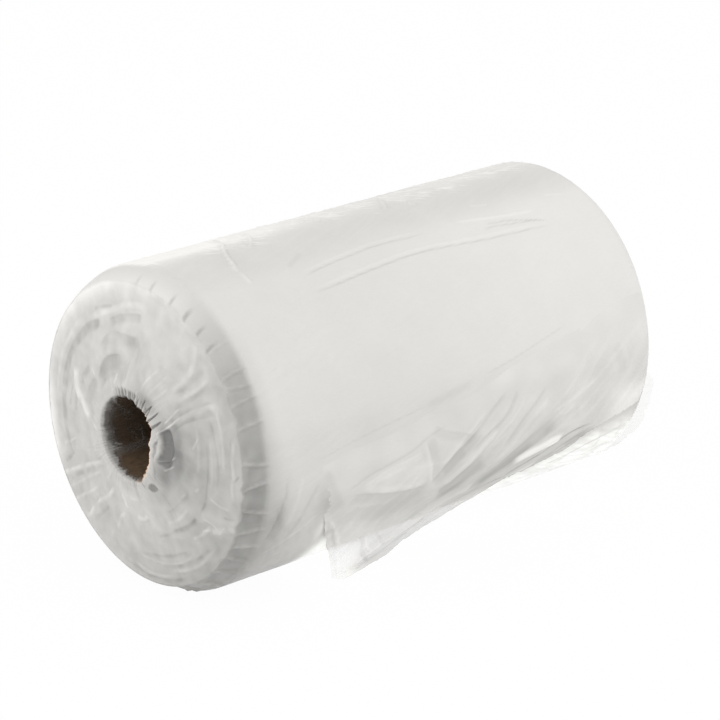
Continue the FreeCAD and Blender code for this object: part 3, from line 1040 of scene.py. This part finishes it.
def film_paint(along, marks, radius, angle, milk):
    """How much the film hides, its painted highlight of the lit board edge, and its milkiness with the
    near mouth's own.
    """
    depth = marks["near_lip"] - 0.8 - along  # inside the near mouth
    cover, milk = mouth_paint(depth, angle, milk)
    far_depth = along - marks["far_lip"] - 2  # inside the far mouth
    cover = np.where(far_depth > 0, FILM_COVER - 0.85 * smooth_step(0, 9, far_depth), cover)
    over_end = (along > marks["near_lip"] - 1) & (along < marks["near_rim"])
    cover -= 0.5 * pleat_gaps(radius, angle) * over_end
    vent, ring = vent_marks(radius, angle)
    cover *= 1 - 0.35 * vent * over_end
    # painted shade in the small hole, and a paler ring round it
    milk = mixed(milk, 0.24, vent * over_end) + 0.04 * ring * over_end
    # painted highlight: a thin line of the board's lit tan along the near lip's inner edge, on the front
    # side
    warm = smooth_step(1.3, 0.3, np.abs(depth - 0.3)) * facing(angle, -5, 40, 72)
    return np.clip(cover, 0, 1), warm, np.clip(milk, 0, 1.1)


def mouth_paint(depth, angle, milk):
    """Cover and milkiness of the film, with its white edge and thin veil inside the near mouth."""
    frill = np.abs(turned(angle * 18, 0)) / 90 - 1 + 0.8 * noise_field(72, angle / 3)
    edge = read_curve(TUCK_EDGE, angle) + (0.15 + 0.85 * facing(angle, -130, 30, 62)) * frill
    past = depth - edge
    left = facing(angle, 165, 35, 60)
    veil = 0.46 + 0.16 * left - (0.42 + 0.16 * left) * smooth_step(0.3, 3.2 + 4.6 * left, past)
    veil = mixed(veil, 0.30 * smooth_step(3.5, 0.6, past), between(angle, -141, -137, -66, -60))
    around = np.radians(angle % 360) * LINING_RADIUS
    streak = np.zeros(depth.shape)
    for half_width, extra, points in BORE_STREAKS:
        path = [(d, math.radians(a) * LINING_RADIUS) for d, a in points]
        streak += extra * fold(path, (half_width, half_width), depth, around) * (depth > 0)
    inside = smooth_step(-0.4, 0.4, past) * (depth > -3)
    # deeper in the bore the film is painted darker, with shade, and its streaks lighter
    dim = 0.24 - 0.24 * smooth_step(1, 7, past) + 1.4 * streak
    milk = mixed(milk, dim, inside * smooth_step(0, 1, past))
    return mixed(FILM_COVER, veil + streak, inside), milk


def vent_marks(radius, angle):
    """1 in the small round hole in the near end, and 1 on the paler ring round it."""
    x, y = end_chart(radius, angle)
    centre_x, centre_y = end_chart(VENT_FROM_AXIS, VENT_ANGLE)
    across, up = x - centre_x, y - centre_y
    off = np.hypot(across / 1.7, 1.08 * (up - 0.35 * across))
    return smooth_step(2.4, 1.3, off), between(off, 1.9, 2.3, 2.4, 3.0)


def film_pieces(material):
    """The film, cut at two rings into pieces whose shading runs on across the cuts."""
    whole, marks = film()
    normals = read_vectors(whole, "normal")
    near_cut = marks["shoulder"] + NEAR_CUT
    far_cut = marks["far_rim"] - FAR_CUT
    parts = [
        ("film_near_end", -math.inf, near_cut),
        ("film_body", near_cut, far_cut),
        ("film_far_end", far_cut, math.inf),
    ]
    pieces = []
    for name, start, end in parts:
        mesh = ring_part(whole, start, end)
        index = read_attribute(mesh, "whole_index", np.int32)
        pieces.append(add_piece(name, mesh, material, "outer_wrap"))
        mesh.normals_split_custom_set_from_vertices([tuple(n) for n in normals[index]])
    bpy.data.meshes.remove(whole)
    return pieces


def ring_part(whole, start, end):
    """The faces of the film whose middles lie between two distances along it."""
    bm = bmesh.new()
    bm.from_mesh(whole)
    along = bm.verts.layers.float["along"]
    index = bm.verts.layers.int.new("whole_index")
    for vertex in bm.verts:
        vertex[index] = vertex.index
    outside = []
    for face in bm.faces:
        middle = sum(vertex[along] for vertex in face.verts) / len(face.verts)
        if not start <= middle < end:
            outside.append(face)
    bmesh.ops.delete(bm, geom=outside, context="FACES")
    return to_mesh(bm, "ring_part")


# Wound bags ------------------------------------------------------------------------------------


def roll_line():
    """The roll's outline as (station, radius) points, with the turns' edges as fine steps."""
    draw = np.random.default_rng(5)
    near, radius = [], CORE_RADIUS + 0.05
    while radius < STEP_RADIUS - 3.4:
        thickness = draw.uniform(0.7, 1.6)
        edge = float(roll_end(radius)) + draw.uniform(-0.12, 0.22)
        near += [(edge, radius + 0.05), (edge, radius + thickness - 0.15)]
        radius += thickness
    near += [(0.0, radius + 0.05), (0.0, STEP_RADIUS - 1.6)]
    shoulder = [(0.5, STEP_RADIUS - 0.6), (1.6, STEP_RADIUS - 0.1), (OUTER_NEAR, STEP_RADIUS)]
    for degrees in range(0, 91, 15):
        turn = math.radians(degrees)
        station = OUTER_NEAR + RIM_RADIUS * (1 - math.cos(turn))
        shoulder.append((station, ROLL_RADIUS + RIM_RADIUS * (math.sin(turn) - 1)))
    far_rim = [(OUTER_NEAR + OUTER_FAR - s, r) for s, r in reversed(shoulder[2:])]
    far = [(WEB_WIDTH + s, r) for s, r in reversed(near)]
    return np.array(near + shoulder + far_rim + far)


def bag_roll(material):
    """The bags, which stay higher off the floor than the film under them."""
    mesh = ringed_mesh("bag_roll_turns", roll_line(), ROLL_SEGMENTS)
    points = read_vectors(mesh, "co")
    points[:, 2] = np.maximum(points[:, 2], 4 * FLOOR_CLEARANCE * MM)
    write_points(mesh, points)
    return add_piece("bag_roll_turns", mesh, material, "bag_roll")


# Flap ------------------------------------------------------------------------------------------

# The flap is drawn on a chart: station along the roll, and drop, the distance down the film
# from the roll's front line. It lies on the roll down to where it leaves it along a tangent,
# and what is longer than the way to the floor lies on the floor.
FLAP_RADIUS = FILM_RADIUS + 0.6
FLAP_START = 72.0
FLAP_NEAR_REACH, FLAP_FAR_REACH = 49.0, 15.0  # from under the axis to the foot, at the two ends
FLAP_WIDTH = 190.0  # along its foot
FLAP_SUNK = 0.85  # how deep its edges on the roll sink into the film below
FLAP_MILK, FLAP_COVER = 0.72, 0.90
FLAP_PULL = (0.72, -0.69)  # the direction of its finest creases

# Its upper and lower edges, as (station, drop) points
FLAP_ROOT = [(37, 0), (60, -4), (86, -7.6), (121, -12), (151, -17.5), (182, -23), (215, -30)]
FLAP_ROOT += [(250, -37)]
FLAP_FOOT = [(74, 91), (90, 92), (110, 91.5), (121, 86), (134, 81), (149, 75), (158, 68), (164, 60)]
FLAP_FOOT += [(172, 56), (187, 52), (204, 47), (214, 40), (226, 34), (240, 30), (250.4, 26)]

# The slit above the hem, where light comes through, and the strand that crosses it
FLAP_SLIT = [(170, 41), (178, 37.2), (186, 34.8), (192, 33.8), (198, 33.4)]
SLIT_STRAND = [(168, 43), (178, 38.4), (190, 34.6), (200, 32)]

# Folds of the flap, each with its height, two widths, change of milkiness, and points. Their
# milkiness is painted shade in folds and painted highlight on ridges, and painted light in the gap
# above the hem
FLAP_FOLDS = [
    # the flat facet near the top of the near edge
    (-0.5, (0.8, 1.6), -0.09, [(56, 23), (70, 16.4), (82, 14), (95, 11), (106, 6), (118, 3)]),
    (0.5, (6.0, 0.8), 0.09, [(66, 22), (78, 17), (92, 14.5), (104, 12.5)]),
    (0.4, (8.0, 7.0), 0.09, [(76, 24), (92, 23.5), (108, 25), (118, 28)]),
    (-0.3, (7.5, 0.6), -0.08, [(60, 23.5), (75, 28), (88, 31.5), (100, 34), (115, 35)]),
    (-0.4, (10.0, 5.0), -0.06, [(62, 36), (80, 41), (98, 43), (116, 42)]),
    (0.7, (0.6, 4.0), 0.06, [(66, 24), (77, 27.5), (90, 31), (102, 33), (112, 33.5)]),
    (0.5, (3.0, 0.5), 0.07, [(103, 8), (107, 17), (110, 25), (113.4, 35)]),
    (-0.4, (0.5, 6.0), -0.10, [(103.6, 7), (108.4, 17), (111.4, 25), (114.8, 36)]),
    # tension folds that slant up towards the far end
    (-0.5, (6.0, 0.6), -0.08, [(108, 1), (116, 6), (126, 10), (137, 14)]),
    (-1.0, (9.5, 1.0), -0.15, [(112, 36), (119, 27), (127, 18.5), (138, 10)]),
    (-0.5, (6.0, 5.0), -0.09, [(118, 30), (124, 24), (130, 19)]),
    (-0.8, (3.2, 0.8), -0.11, [(126, 20), (137, 10.5), (144, 3), (154, -4)]),
    (0.8, (0.8, 2.6), 0.06, [(116, 26), (124, 18), (134, 9), (142, 2)]),
    (0.8, (3.4, 3.0), 0.10, [(122, 41), (132, 31), (142, 21), (151, 13)]),
    (-0.8, (3.2, 0.7), -0.13, [(134, 24), (141, 17), (149, 12), (154, 8), (158, 2), (161.5, -4)]),
    (0.7, (2.4, 1.0), 0.06, [(142, 27), (152, 17), (160, 9), (166, 1)]),
    (-0.7, (3.0, 0.8), -0.10, [(156, 26), (166, 13), (173, 6.5), (180, -1)]),
    (0.6, (2.6, 2.6), 0.08, [(152, 36), (164, 24), (172, 15), (182, 6)]),
    (-1.2, (7.0, 6.0), -0.18, [(146, 54), (155, 45), (163, 39), (172, 32), (181, 26), (193, 20)]),
    (-0.8, (3.0, 4.0), -0.13, [(150, 51), (160, 43), (170, 36), (178, 30)]),
    (-0.6, (6.0, 4.0), -0.09, [(182, 27), (193, 22), (206, 19)]),
    (0.5, (2.0, 2.0), 0.07, [(186, 16), (200, 10), (214, 4)]),
    (-0.2, (4.0, 4.0), -0.06, [(226, -10), (230, -1), (231, 7)]),
    # the hem, the gap above it that light comes through, and the folds along it
    (0.9, (4.4, 3.6), 0.42, [(168, 41), (176, 37.4), (185, 34.8), (193, 33.4), (199, 33)]),
    (-0.7, (0.9, 1.2), -0.34,
     [(155, 55), (166, 51.6), (177, 46.4), (187, 41), (196, 36.4), (205, 32), (219, 31)]),
    (-0.7, (6.0, 1.6), -0.16, [(184, 49), (196, 43.6), (207, 37.5), (221, 33)]),
    (-0.5, (4.0, 3.0), -0.13, [(203, 42), (209, 39), (217, 37)]),
    (0.5, (1.8, 1.8), 0.20, [(170, 54), (180, 49.6), (190, 46)]),
    (0.5, (1.2, 1.2), 0.22, [(197, 44.5), (205, 41), (212, 38)]),
    (-0.5, (2.0, 2.0), -0.14, [(158, 60), (170, 55), (182, 52)]),
    (-1.0, (8.0, 7.0), -0.18, [(121, 47), (133, 39), (147, 31)]),
    (-1.0, (3.0, 4.0), -0.14, [(98, 76), (113, 61), (125, 50), (142, 42)]),
    (0.8, (3.0, 3.0), 0.10, [(104, 82), (120, 66), (134, 55), (149, 47)]),
    (-0.9, (2.4, 3.4), -0.18, [(112, 84), (130, 69), (144, 61), (160, 53)]),
    (-0.6, (1.6, 1.6), -0.12, [(131, 82), (142, 71), (153, 63)]),
    (0.5, (1.6, 1.6), 0.14, [(138, 80), (149, 70), (160, 60)]),
    # the near edge and its crumpled corner
    (-0.1, (6.0, 6.0), -0.10, [(41, 6), (46, 17), (50, 24), (56, 33)]),
    (0.7, (1.4, 1.8), 0.12, [(50, 34), (57, 43), (62, 52), (66, 62), (72, 80)]),
    (-0.6, (1.2, 1.2), -0.14, [(56, 43), (62, 57), (68, 71), (76, 90)]),
    (-0.5, (3.0, 3.0), -0.12, [(44, 44), (52, 46), (60, 44)]),
    (-0.9, (1.4, 2.2), -0.28, [(77, 56), (83, 64), (86, 72), (92, 80), (98, 88)]),
    (0.9, (1.2, 1.2), 0.20, [(83, 60), (88, 69), (95, 76)]),
    (-0.7, (1.4, 1.4), -0.22, [(90, 60), (97, 68), (105, 78)]),
    (-0.7, (2.4, 2.0), -0.20, [(82, 89), (96, 85), (110, 81), (122, 76)]),
    (0.7, (1.6, 1.6), 0.16, [(84, 81), (98, 76), (112, 71)]),
]

# Painted light and shade on the flap: station, drop, length, height and amount
FLAP_PAINTED_SHADING = [
    (110, 32, 14, 6, 0.06),
    (200, 24, 16, 7, 0.10),
    (118, 35, 8, 5, 0.04),
    (88, 52, 14, 9, -0.07),
    (102, 68, 10, 6, -0.05),
]


def leaving_turn(station):
    """The turn round the axis, in radians, at which the flap leaves the roll."""
    share = np.clip((station - FLAP_START) / (OUTER_FAR - FLAP_START), 0, 1)
    reach = FLAP_NEAR_REACH + share * (FLAP_FAR_REACH - FLAP_NEAR_REACH)
    span = np.hypot(AXIS_HEIGHT, reach)
    return np.arccos(np.minimum(FLAP_RADIUS / span, 1)) - np.arctan2(AXIS_HEIGHT, reach)


def hang(station, drop, lift):
    """Frame coordinates of places on the flap, lifted off it by a height."""
    leave = leaving_turn(station)
    turn = np.maximum(-drop / FLAP_RADIUS, leave)
    fall = np.maximum(drop + leave * FLAP_RADIUS, 0)
    radius = FLAP_RADIUS + lift
    y = -radius * np.cos(turn) - fall * np.sin(turn)
    z = AXIS_HEIGHT + radius * np.sin(turn) - fall * np.cos(turn)
    under = np.maximum(FLOOR_CLEARANCE + 0.3 - z, 0)
    return np.stack([NEAR_RIM_X + station, y - 1.1 * under, z + under], axis=-1) * MM


def flap(material):
    """The slack of the wrap: a sheet that hangs from the front, creased along its pull."""
    mesh, column, up = grid_sheet("flap", FLAP_COLUMNS, FLAP_ROWS)
    row = 1 - up
    root_station, root_drop = follow(FLAP_ROOT, column)
    foot_station, foot_drop = follow(FLAP_FOOT, column)
    ragged = noise_field(51, column * 26) + 0.8 * noise_field(52, column * 80)
    foot_drop -= 2.5 * np.abs(ragged) * smooth_step(0.02, 0.1, column)
    station = root_station + (foot_station - root_station) * row
    drop = root_drop + (foot_drop - root_drop) * row
    near_side = smooth_step(0.12, 0, column)
    station -= 3 * near_side * np.sin(np.pi * np.clip(row / 0.9, 0, 1)) ** 2
    station += near_side * 0.9 * noise_field(53, row * 14)
    length = np.maximum(foot_drop - root_drop, 1)
    below_root, above_foot = row * length, (1 - row) * length
    height, milk, streak = flap_shape(station, drop, smooth_step(0.1, 0.5, row))
    # a faint darker line along the root, and painted shade along the foot's edge
    milk -= 0.05 * smooth_step(1.6, 0.4, np.abs(below_root - 2.5))
    milk -= 0.22 * smooth_step(1.2, 0.2, above_foot)
    # its edges on the roll sink into the film below, so that it grows out of it
    lying = smooth_step(4, -10, drop + leaving_turn(station) * FLAP_RADIUS)
    from_near_edge = smooth_step(0, 9, FLAP_WIDTH * column) + 1 - lying
    rooted = np.clip(np.minimum(smooth_step(0, 14, below_root), from_near_edge), 0, 1)
    height = mixed(-FLAP_SUNK, np.maximum(height, -0.2), rooted)
    height -= 0.16 * np.clip(station - OUTER_FAR + 3, 0, None) ** 2
    write_points(mesh, hang(station, drop, height))
    paint(
        mesh,
        milk=np.clip(milk, 0, 1.1),
        cover=flap_cover(station, drop, streak),
        warm=0 * row,
        glow=flap_glow(station, drop),
    )
    return add_piece("wrap_flap", mesh, material, "outer_wrap")


def flap_shape(station, drop, free):
    """Height and milkiness of the flap, and the fine streaks of its pull, where it hangs free."""
    height, milk = laid_folds(FLAP_FOLDS, station, drop)
    length, width = slanted(station, drop, FLAP_PULL)
    streak = creases(54, length / 40, width / 8)
    fine = creases(55, length / 20, 2.3 * width / 8)
    swell = noise_field(56, station / 16, drop / 12)
    relief = 0.5 * np.clip(streak - 0.4, 0, None) + 0.2 * np.clip(fine - 0.4, 0, None) + 0.6 * swell
    height = 0.8 * height + free * relief
    milk = FLAP_MILK + 0.85 * milk + shades(FLAP_PAINTED_SHADING, station, drop) + 0.05 * swell
    # lighter high up towards the far end; painted light at the far edge and the near corner, where light
    # comes through; painted shade lower down; painted highlights on the crests of the streaks
    milk += 0.06 * smooth_step(2, -12, drop) * smooth_step(110, 160, station)
    milk += 0.14 * far_edge(station, drop) - 0.07 * smooth_step(12, 40, drop)
    milk += 0.22 * smooth_step(62, 74, corner_drop(station, drop)) * smooth_step(98, 78, station)
    milk += free * (0.06 * np.clip(streak - 0.3, -0.2, None) + 0.02 * np.clip(fine - 0.5, 0, None))
    return height, milk, streak


def far_edge(station, drop):
    """1 at the far end of the flap, low down."""
    return smooth_step(220, 238, station) * smooth_step(8, 22, drop)


def corner_drop(station, drop):
    """How far down the flap, measured aslant, so that its near corner comes last."""
    return drop + 0.3 * (station - FLAP_START)


def flap_glow(station, drop):
    """Painted light, given as emission, for light from behind in the flap's slit, its near corner and its
    far edge.
    """
    slit = fold(FLAP_SLIT, (3.8, 3.2), station, drop)
    slit *= 1 - 0.8 * fold(SLIT_STRAND, (0.6, 0.8), station, drop)
    corner = smooth_step(52, 72, corner_drop(station, drop)) * smooth_step(94, 74, station)
    return np.clip(0.32 * slit + 0.45 * corner + 0.25 * far_edge(station, drop), 0, 1)


def flap_cover(station, drop, streak):
    """How much the flap hides: it is thinnest at its near corner, where nothing is behind it."""
    roll_foot = read_curve([(62, 58), (110, 62), (160, 66), (240, 68)], station)
    past_roll = smooth_step(-3, 3, drop - roll_foot)
    cover = FLAP_COVER - past_roll * (0.34 + 0.30 * smooth_step(86, 68, station))
    cover += 0.16 * past_roll * np.clip(streak - 0.3, -0.5, 0.7)
    return np.clip(cover, 0, 1)


# How far the frill reaches past the far rim, by angle
FRILL_REACH = [(-54, 2), (-48, 8), (-36, 10), (-24, 8), (-14, 7), (-8, 0.5)]
FRILL_ROOT = 5.0  # how far inside the far rim it starts


def far_frill(material):
    """The loose edge of the film that stands out past the far rim, low on the front."""
    mesh, column, row = grid_sheet("frill", FRILL_COLUMNS, FRILL_ROWS)
    top, bottom = FRILL_REACH[-1][0], FRILL_REACH[0][0]
    angle = top + (bottom - top) * column
    reach = read_curve(FRILL_REACH, angle)
    reach += 1.8 * noise_field(91, angle / 5) + 0.8 * noise_field(92, angle / 1.6)
    reach = np.clip(reach, 0.4, 11)
    pleat = creases(93, angle / 3.4 + row, row * 0.6)
    radius = FILM_RADIUS + 0.5 + row * (1.5 * pleat - 0.3) - 1.2 * row * row
    station = OUTER_FAR - FRILL_ROOT + row * (reach + FRILL_ROOT)
    write_points(mesh, place(station, radius, angle))
    paint(
        mesh,
        milk=0.75 + 0.25 * np.clip(pleat, -0.5, 1),
        cover=0.34 * smooth_step(0, 0.3, row) * (0.5 + 0.5 * np.clip(pleat, 0, 1)),
        warm=0 * row,
        glow=0 * row,
    )
    return add_piece("far_frill", mesh, material, "outer_wrap")


# Finishes --------------------------------------------------------------------------------------


class Value:
    """A node's output that takes part in arithmetic: each operator adds a Math node."""

    def __init__(self, tree, socket):
        self.tree = tree
        self.socket = socket

    def _math(self, operation, *operands):
        node = self.tree.nodes.new("ShaderNodeMath")
        node.operation = operation
        for slot, operand in zip(node.inputs, operands):
            feed(self.tree, slot, operand)
        return Value(self.tree, node.outputs[0])

    def __add__(self, other):
        return self._math("ADD", self, other)

    def __radd__(self, other):
        return self._math("ADD", other, self)

    def __sub__(self, other):
        return self._math("SUBTRACT", self, other)

    def __rsub__(self, other):
        return self._math("SUBTRACT", other, self)

    def __mul__(self, other):
        return self._math("MULTIPLY", self, other)

    def __rmul__(self, other):
        return self._math("MULTIPLY", other, self)

    def at_least(self, other):
        return self._math("MAXIMUM", self, other)

    def at_most(self, other):
        return self._math("MINIMUM", self, other)


def feed(tree, slot, value):
    """Links a socket to another node's output, or sets its own number or colour."""
    if isinstance(value, Value):
        tree.links.new(value.socket, slot)
    else:
        slot.default_value = value


class Finish:
    """A material, and the few ways in which this script adds nodes to it."""

    def __init__(self, name):
        self.material = bpy.data.materials.new(name)
        self.material.use_nodes = True
        self.tree = self.material.node_tree
        self.tree.nodes.clear()

    def node(self, kind, settings=None, inputs=None, output=0):
        """Adds a node of a type, with its settings first and then its inputs' values or links."""
        node = self.tree.nodes.new(kind)
        for name, value in (settings or {}).items():
            setattr(node, name, value)
        for name, value in (inputs or {}).items():
            feed(self.tree, node.inputs[name], value)
        return Value(self.tree, node.outputs[output])

    def attribute(self, name):
        return self.node("ShaderNodeAttribute", {"attribute_name": name}, output="Fac")

    def object_place(self):
        return self.node("ShaderNodeTexCoord", output="Object")

    def height(self):
        """Height above the floor, in metres."""
        return self.node("ShaderNodeSeparateXYZ", inputs={"Vector": self.object_place()}, output="Z")

    def stretched(self, scale, turn=(0, 0, 0)):
        """Object coordinates, turned and scaled along each axis."""
        inputs = {"Vector": self.object_place(), "Rotation": turn, "Scale": scale}
        return self.node("ShaderNodeMapping", inputs=inputs)

    def streaks(self, turn, length, width):
        """Noise drawn out along lines that are turned round the vertical."""
        size = (length, width, length)
        inputs = {"Vector": self.object_place(), "Rotation": (0, 0, turn), "Scale": size}
        across = self.node("ShaderNodeMapping", {"vector_type": "TEXTURE"}, inputs)
        return self.noise(across, 1.0, 2.0, 0.6)

    def noise(self, vector, scale, detail=3.0, roughness=0.5):
        inputs = {"Vector": vector, "Scale": scale, "Detail": detail, "Roughness": roughness}
        return self.node("ShaderNodeTexNoise", inputs=inputs)

    def blend(self, share, first, second):
        """A mix of two colours."""
        inputs = {0: share, 6: first, 7: second}
        return self.node("ShaderNodeMix", {"data_type": "RGBA"}, inputs, output=2)

    def span(self, value, low, high):
        """Where a value lies between two numbers, from 0 to 1."""
        inputs = {"Value": value, "From Min": low, "From Max": high, "To Min": 0.0, "To Max": 1.0}
        return self.node("ShaderNodeMapRange", {"clamp": True}, inputs)

    def bump(self, height, strength, distance):
        inputs = {"Height": height, "Strength": strength, "Distance": distance}
        return self.node("ShaderNodeBump", inputs=inputs)

    def surface(self, **inputs):
        """The Principled shader, with its sockets named in words, as the material's surface."""
        sockets = {name.replace("_", " "): value for name, value in inputs.items()}
        return self.show(self.node("ShaderNodeBsdfPrincipled", inputs=sockets))

    def show(self, shader):
        output = self.tree.nodes.new("ShaderNodeOutputMaterial")
        feed(self.tree, output.inputs["Surface"], shader)
        return self.material


# the film's white, and the grey of its painted shade
MILK_WHITE = (0.95, 0.934, 0.902, 1)
SHADE_GREY = (0.20, 0.198, 0.19, 1)
# the light tan of the board's lit edge, painted as a highlight into the film at the near mouth
LIT_BOARD_TINT = (0.93, 0.70, 0.55, 1)
NO_GLOW, GLOW_TINT = (0, 0, 0, 1), (0.95, 0.99, 1, 1)
# GLOW is painted light: an emission that stands in for light from behind through the thinnest film
GLOW = 0.32  # how strongly light from behind comes through the thinnest film
TOP_HAIRS = (2.45, 0.011, 0.0012)  # turn, length and width, in radians and metres


def wrap_film():
    """Thin milky film: whiter where it is doubled, painted grey with shade where it bridges a hollow or
    lies in shade, and with painted light where it glows.
    """
    finish = Finish("wrap_film")
    mottle = finish.noise(finish.object_place(), 60.0, 4.0)
    hair = finish.noise(finish.stretched((90, 260, 260), (0.5, 0, 0.3)), 4.0, 3.0, 0.6)
    top_hair = finish.span(finish.streaks(*TOP_HAIRS), 0.52, 0.66) * finish.attribute("haired")
    milk = finish.attribute("milk") + 0.06 * (mottle - 0.5) + 0.05 * (hair - 0.5) + 0.5 * top_hair
    colour = finish.blend(milk.at_least(0.0).at_most(1.0), SHADE_GREY, MILK_WHITE)
    return finish.surface(
        Base_Color=finish.blend(finish.attribute("warm"), colour, LIT_BOARD_TINT),
        Roughness=0.34 + 0.22 * mottle,
        Alpha=finish.attribute("cover"),
        IOR=1.45,
        Emission_Color=finish.blend(finish.attribute("glow"), NO_GLOW, GLOW_TINT),
        Emission_Strength=GLOW,
        Normal=finish.bump(hair * 0.6 + mottle * 0.4 + top_hair, 0.3, 0.0005),
    )


BAG_WHITE = (0.86, 0.855, 0.83, 1)
BAG_SHADE = (0.62, 0.615, 0.59, 1)


def bag_film():
    """The wound bags: white, with faint clouds and a fine grain."""
    finish = Finish("bag_film")
    place_on = finish.object_place()
    cloud = finish.noise(place_on, 45.0, 3.0)
    grain = finish.noise(place_on, 900.0, 2.0)
    share = finish.span(cloud + 0.4 * grain, 0.45, 0.95)
    return finish.surface(
        Base_Color=finish.blend(share, BAG_SHADE, BAG_WHITE),
        Roughness=0.45 + 0.15 * cloud,
        Normal=finish.bump(grain, 0.2, 0.0003),
    )


KRAFT_LIGHT = (0.19, 0.125, 0.072, 1)
KRAFT_DARK = (0.07, 0.045, 0.026, 1)
KRAFT_DARK_ABOVE, KRAFT_LIGHT_BELOW = 0.0675, 0.0605  # heights in the bore, in metres


def core_board():
    """Brown board with fibres and flecks, lighter low in the bore, where light falls."""
    finish = Finish("core_board")
    fibres = finish.noise(finish.stretched((220, 900, 900)), 1.0, 4.0, 0.65)
    flecks = finish.noise(finish.object_place(), 420.0, 3.0, 0.7)
    low = finish.span(finish.height(), KRAFT_DARK_ABOVE, KRAFT_LIGHT_BELOW)
    tone = finish.span(0.6 * fibres + 0.5 * flecks, 0.35, 0.8) * (0.45 + 0.75 * low) + 0.2 * low
    return finish.surface(
        Base_Color=finish.blend(tone, KRAFT_DARK, KRAFT_LIGHT),
        Roughness=0.82 + 0.12 * flecks,
        Normal=finish.bump(fibres, 0.5, 0.0004),
    )


# Stage -----------------------------------------------------------------------------------------

FLOOR_PAINT = (0.9, 0.9, 0.9, 1)
FLOOR_GLOW = 0.97
FLOOR_HALF_WIDTH, FLOOR_DROP = 20, 0.00005  # in metres; it lies just under the film
ROOM_WHITE = (1, 1, 1, 1)
ROOM_LIGHT = 0.88
LAMP_AIM = (0, 0, 0.08)
CAMERA_AT = (-0.9222, -1.0600, 0.6064)
CAMERA_AIM = (0.0099, 0.0, 0.0799)
LENS, SENSOR_WIDTH = 157.4, 36.0


def seen_rays(tree):
    """1 for what the camera sees, also mirrored and through film, and 0 for what gives light."""
    rays = tree.nodes.new("ShaderNodeLightPath")
    direct, mirrored, through = (
        Value(tree, rays.outputs[f"Is {kind} Ray"]) for kind in ("Camera", "Glossy", "Transmission")
    )
    return (direct + mirrored + through).at_most(1.0)


def floor():
    """A plain pale floor, seen as white, that still takes the roll's shadow."""
    finish = Finish("floor")
    white = finish.node("ShaderNodeEmission", inputs={"Color": ROOM_WHITE, "Strength": 1.0})
    matt = finish.node("ShaderNodeBsdfDiffuse", inputs={"Color": FLOOR_PAINT})
    share = FLOOR_GLOW * seen_rays(finish.tree)
    finish.show(finish.node("ShaderNodeMixShader", inputs={0: share, 1: matt, 2: white}))
    bm = bmesh.new()
    bmesh.ops.create_grid(bm, x_segments=1, y_segments=1, size=FLOOR_HALF_WIDTH)
    bmesh.ops.translate(bm, verts=bm.verts, vec=(0, 0, -FLOOR_DROP))
    mesh = to_mesh(bm, "floor")
    mesh.materials.append(finish.material)
    add_object("floor", mesh)


def room():
    """Even light from all round; the room itself is seen and mirrored as white."""
    world = bpy.data.worlds.new("room")
    bpy.context.scene.world = world
    world.use_nodes = True
    tree = world.node_tree
    tree.nodes.clear()
    background = tree.nodes.new("ShaderNodeBackground")
    background.inputs["Color"].default_value = ROOM_WHITE
    strength = ROOM_LIGHT + (1 - ROOM_LIGHT) * seen_rays(tree)
    feed(tree, background.inputs["Strength"], strength)
    output = tree.nodes.new("ShaderNodeOutputWorld")
    tree.links.new(background.outputs[0], output.inputs["Surface"])


def aimed(name, data, stand, aim):
    """A lamp or the camera, that stands at one point and faces another."""
    seat = add_object(name, data)
    seat.location = stand
    seat.rotation_euler = (Vector(aim) - Vector(stand)).to_track_quat("-Z", "Y").to_euler()
    return seat


def lamp(name, stand, width, power):
    """A soft square lamp that faces the roll."""
    data = bpy.data.lights.new(name, "AREA")
    data.size = width
    data.energy = power
    aimed(name, data, stand, LAMP_AIM)


def camera():
    data = bpy.data.cameras.new("camera")
    data.lens = LENS
    data.sensor_width = SENSOR_WIDTH
    data.clip_end = 50.0
    bpy.context.scene.camera = aimed("camera", data, CAMERA_AT, CAMERA_AIM)


# Making ----------------------------------------------------------------------------------------

camera()
room()
floor()
lamp("key", stand=(0.35, -1.3, 1.35), width=1.0, power=6.0)
lamp("fill", stand=(-1.5, 0.35, 0.85), width=0.8, power=6.0)
bpy.context.scene.view_settings.view_transform = "Standard"

film_finish = wrap_film()
near_film, body_film, far_film = film_pieces(film_finish)
slack = flap(film_finish)
frill = far_frill(film_finish)
bag_roll(bag_film())
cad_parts["core_tube"].data.materials.clear()
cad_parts["core_tube"].data.materials.append(core_board())
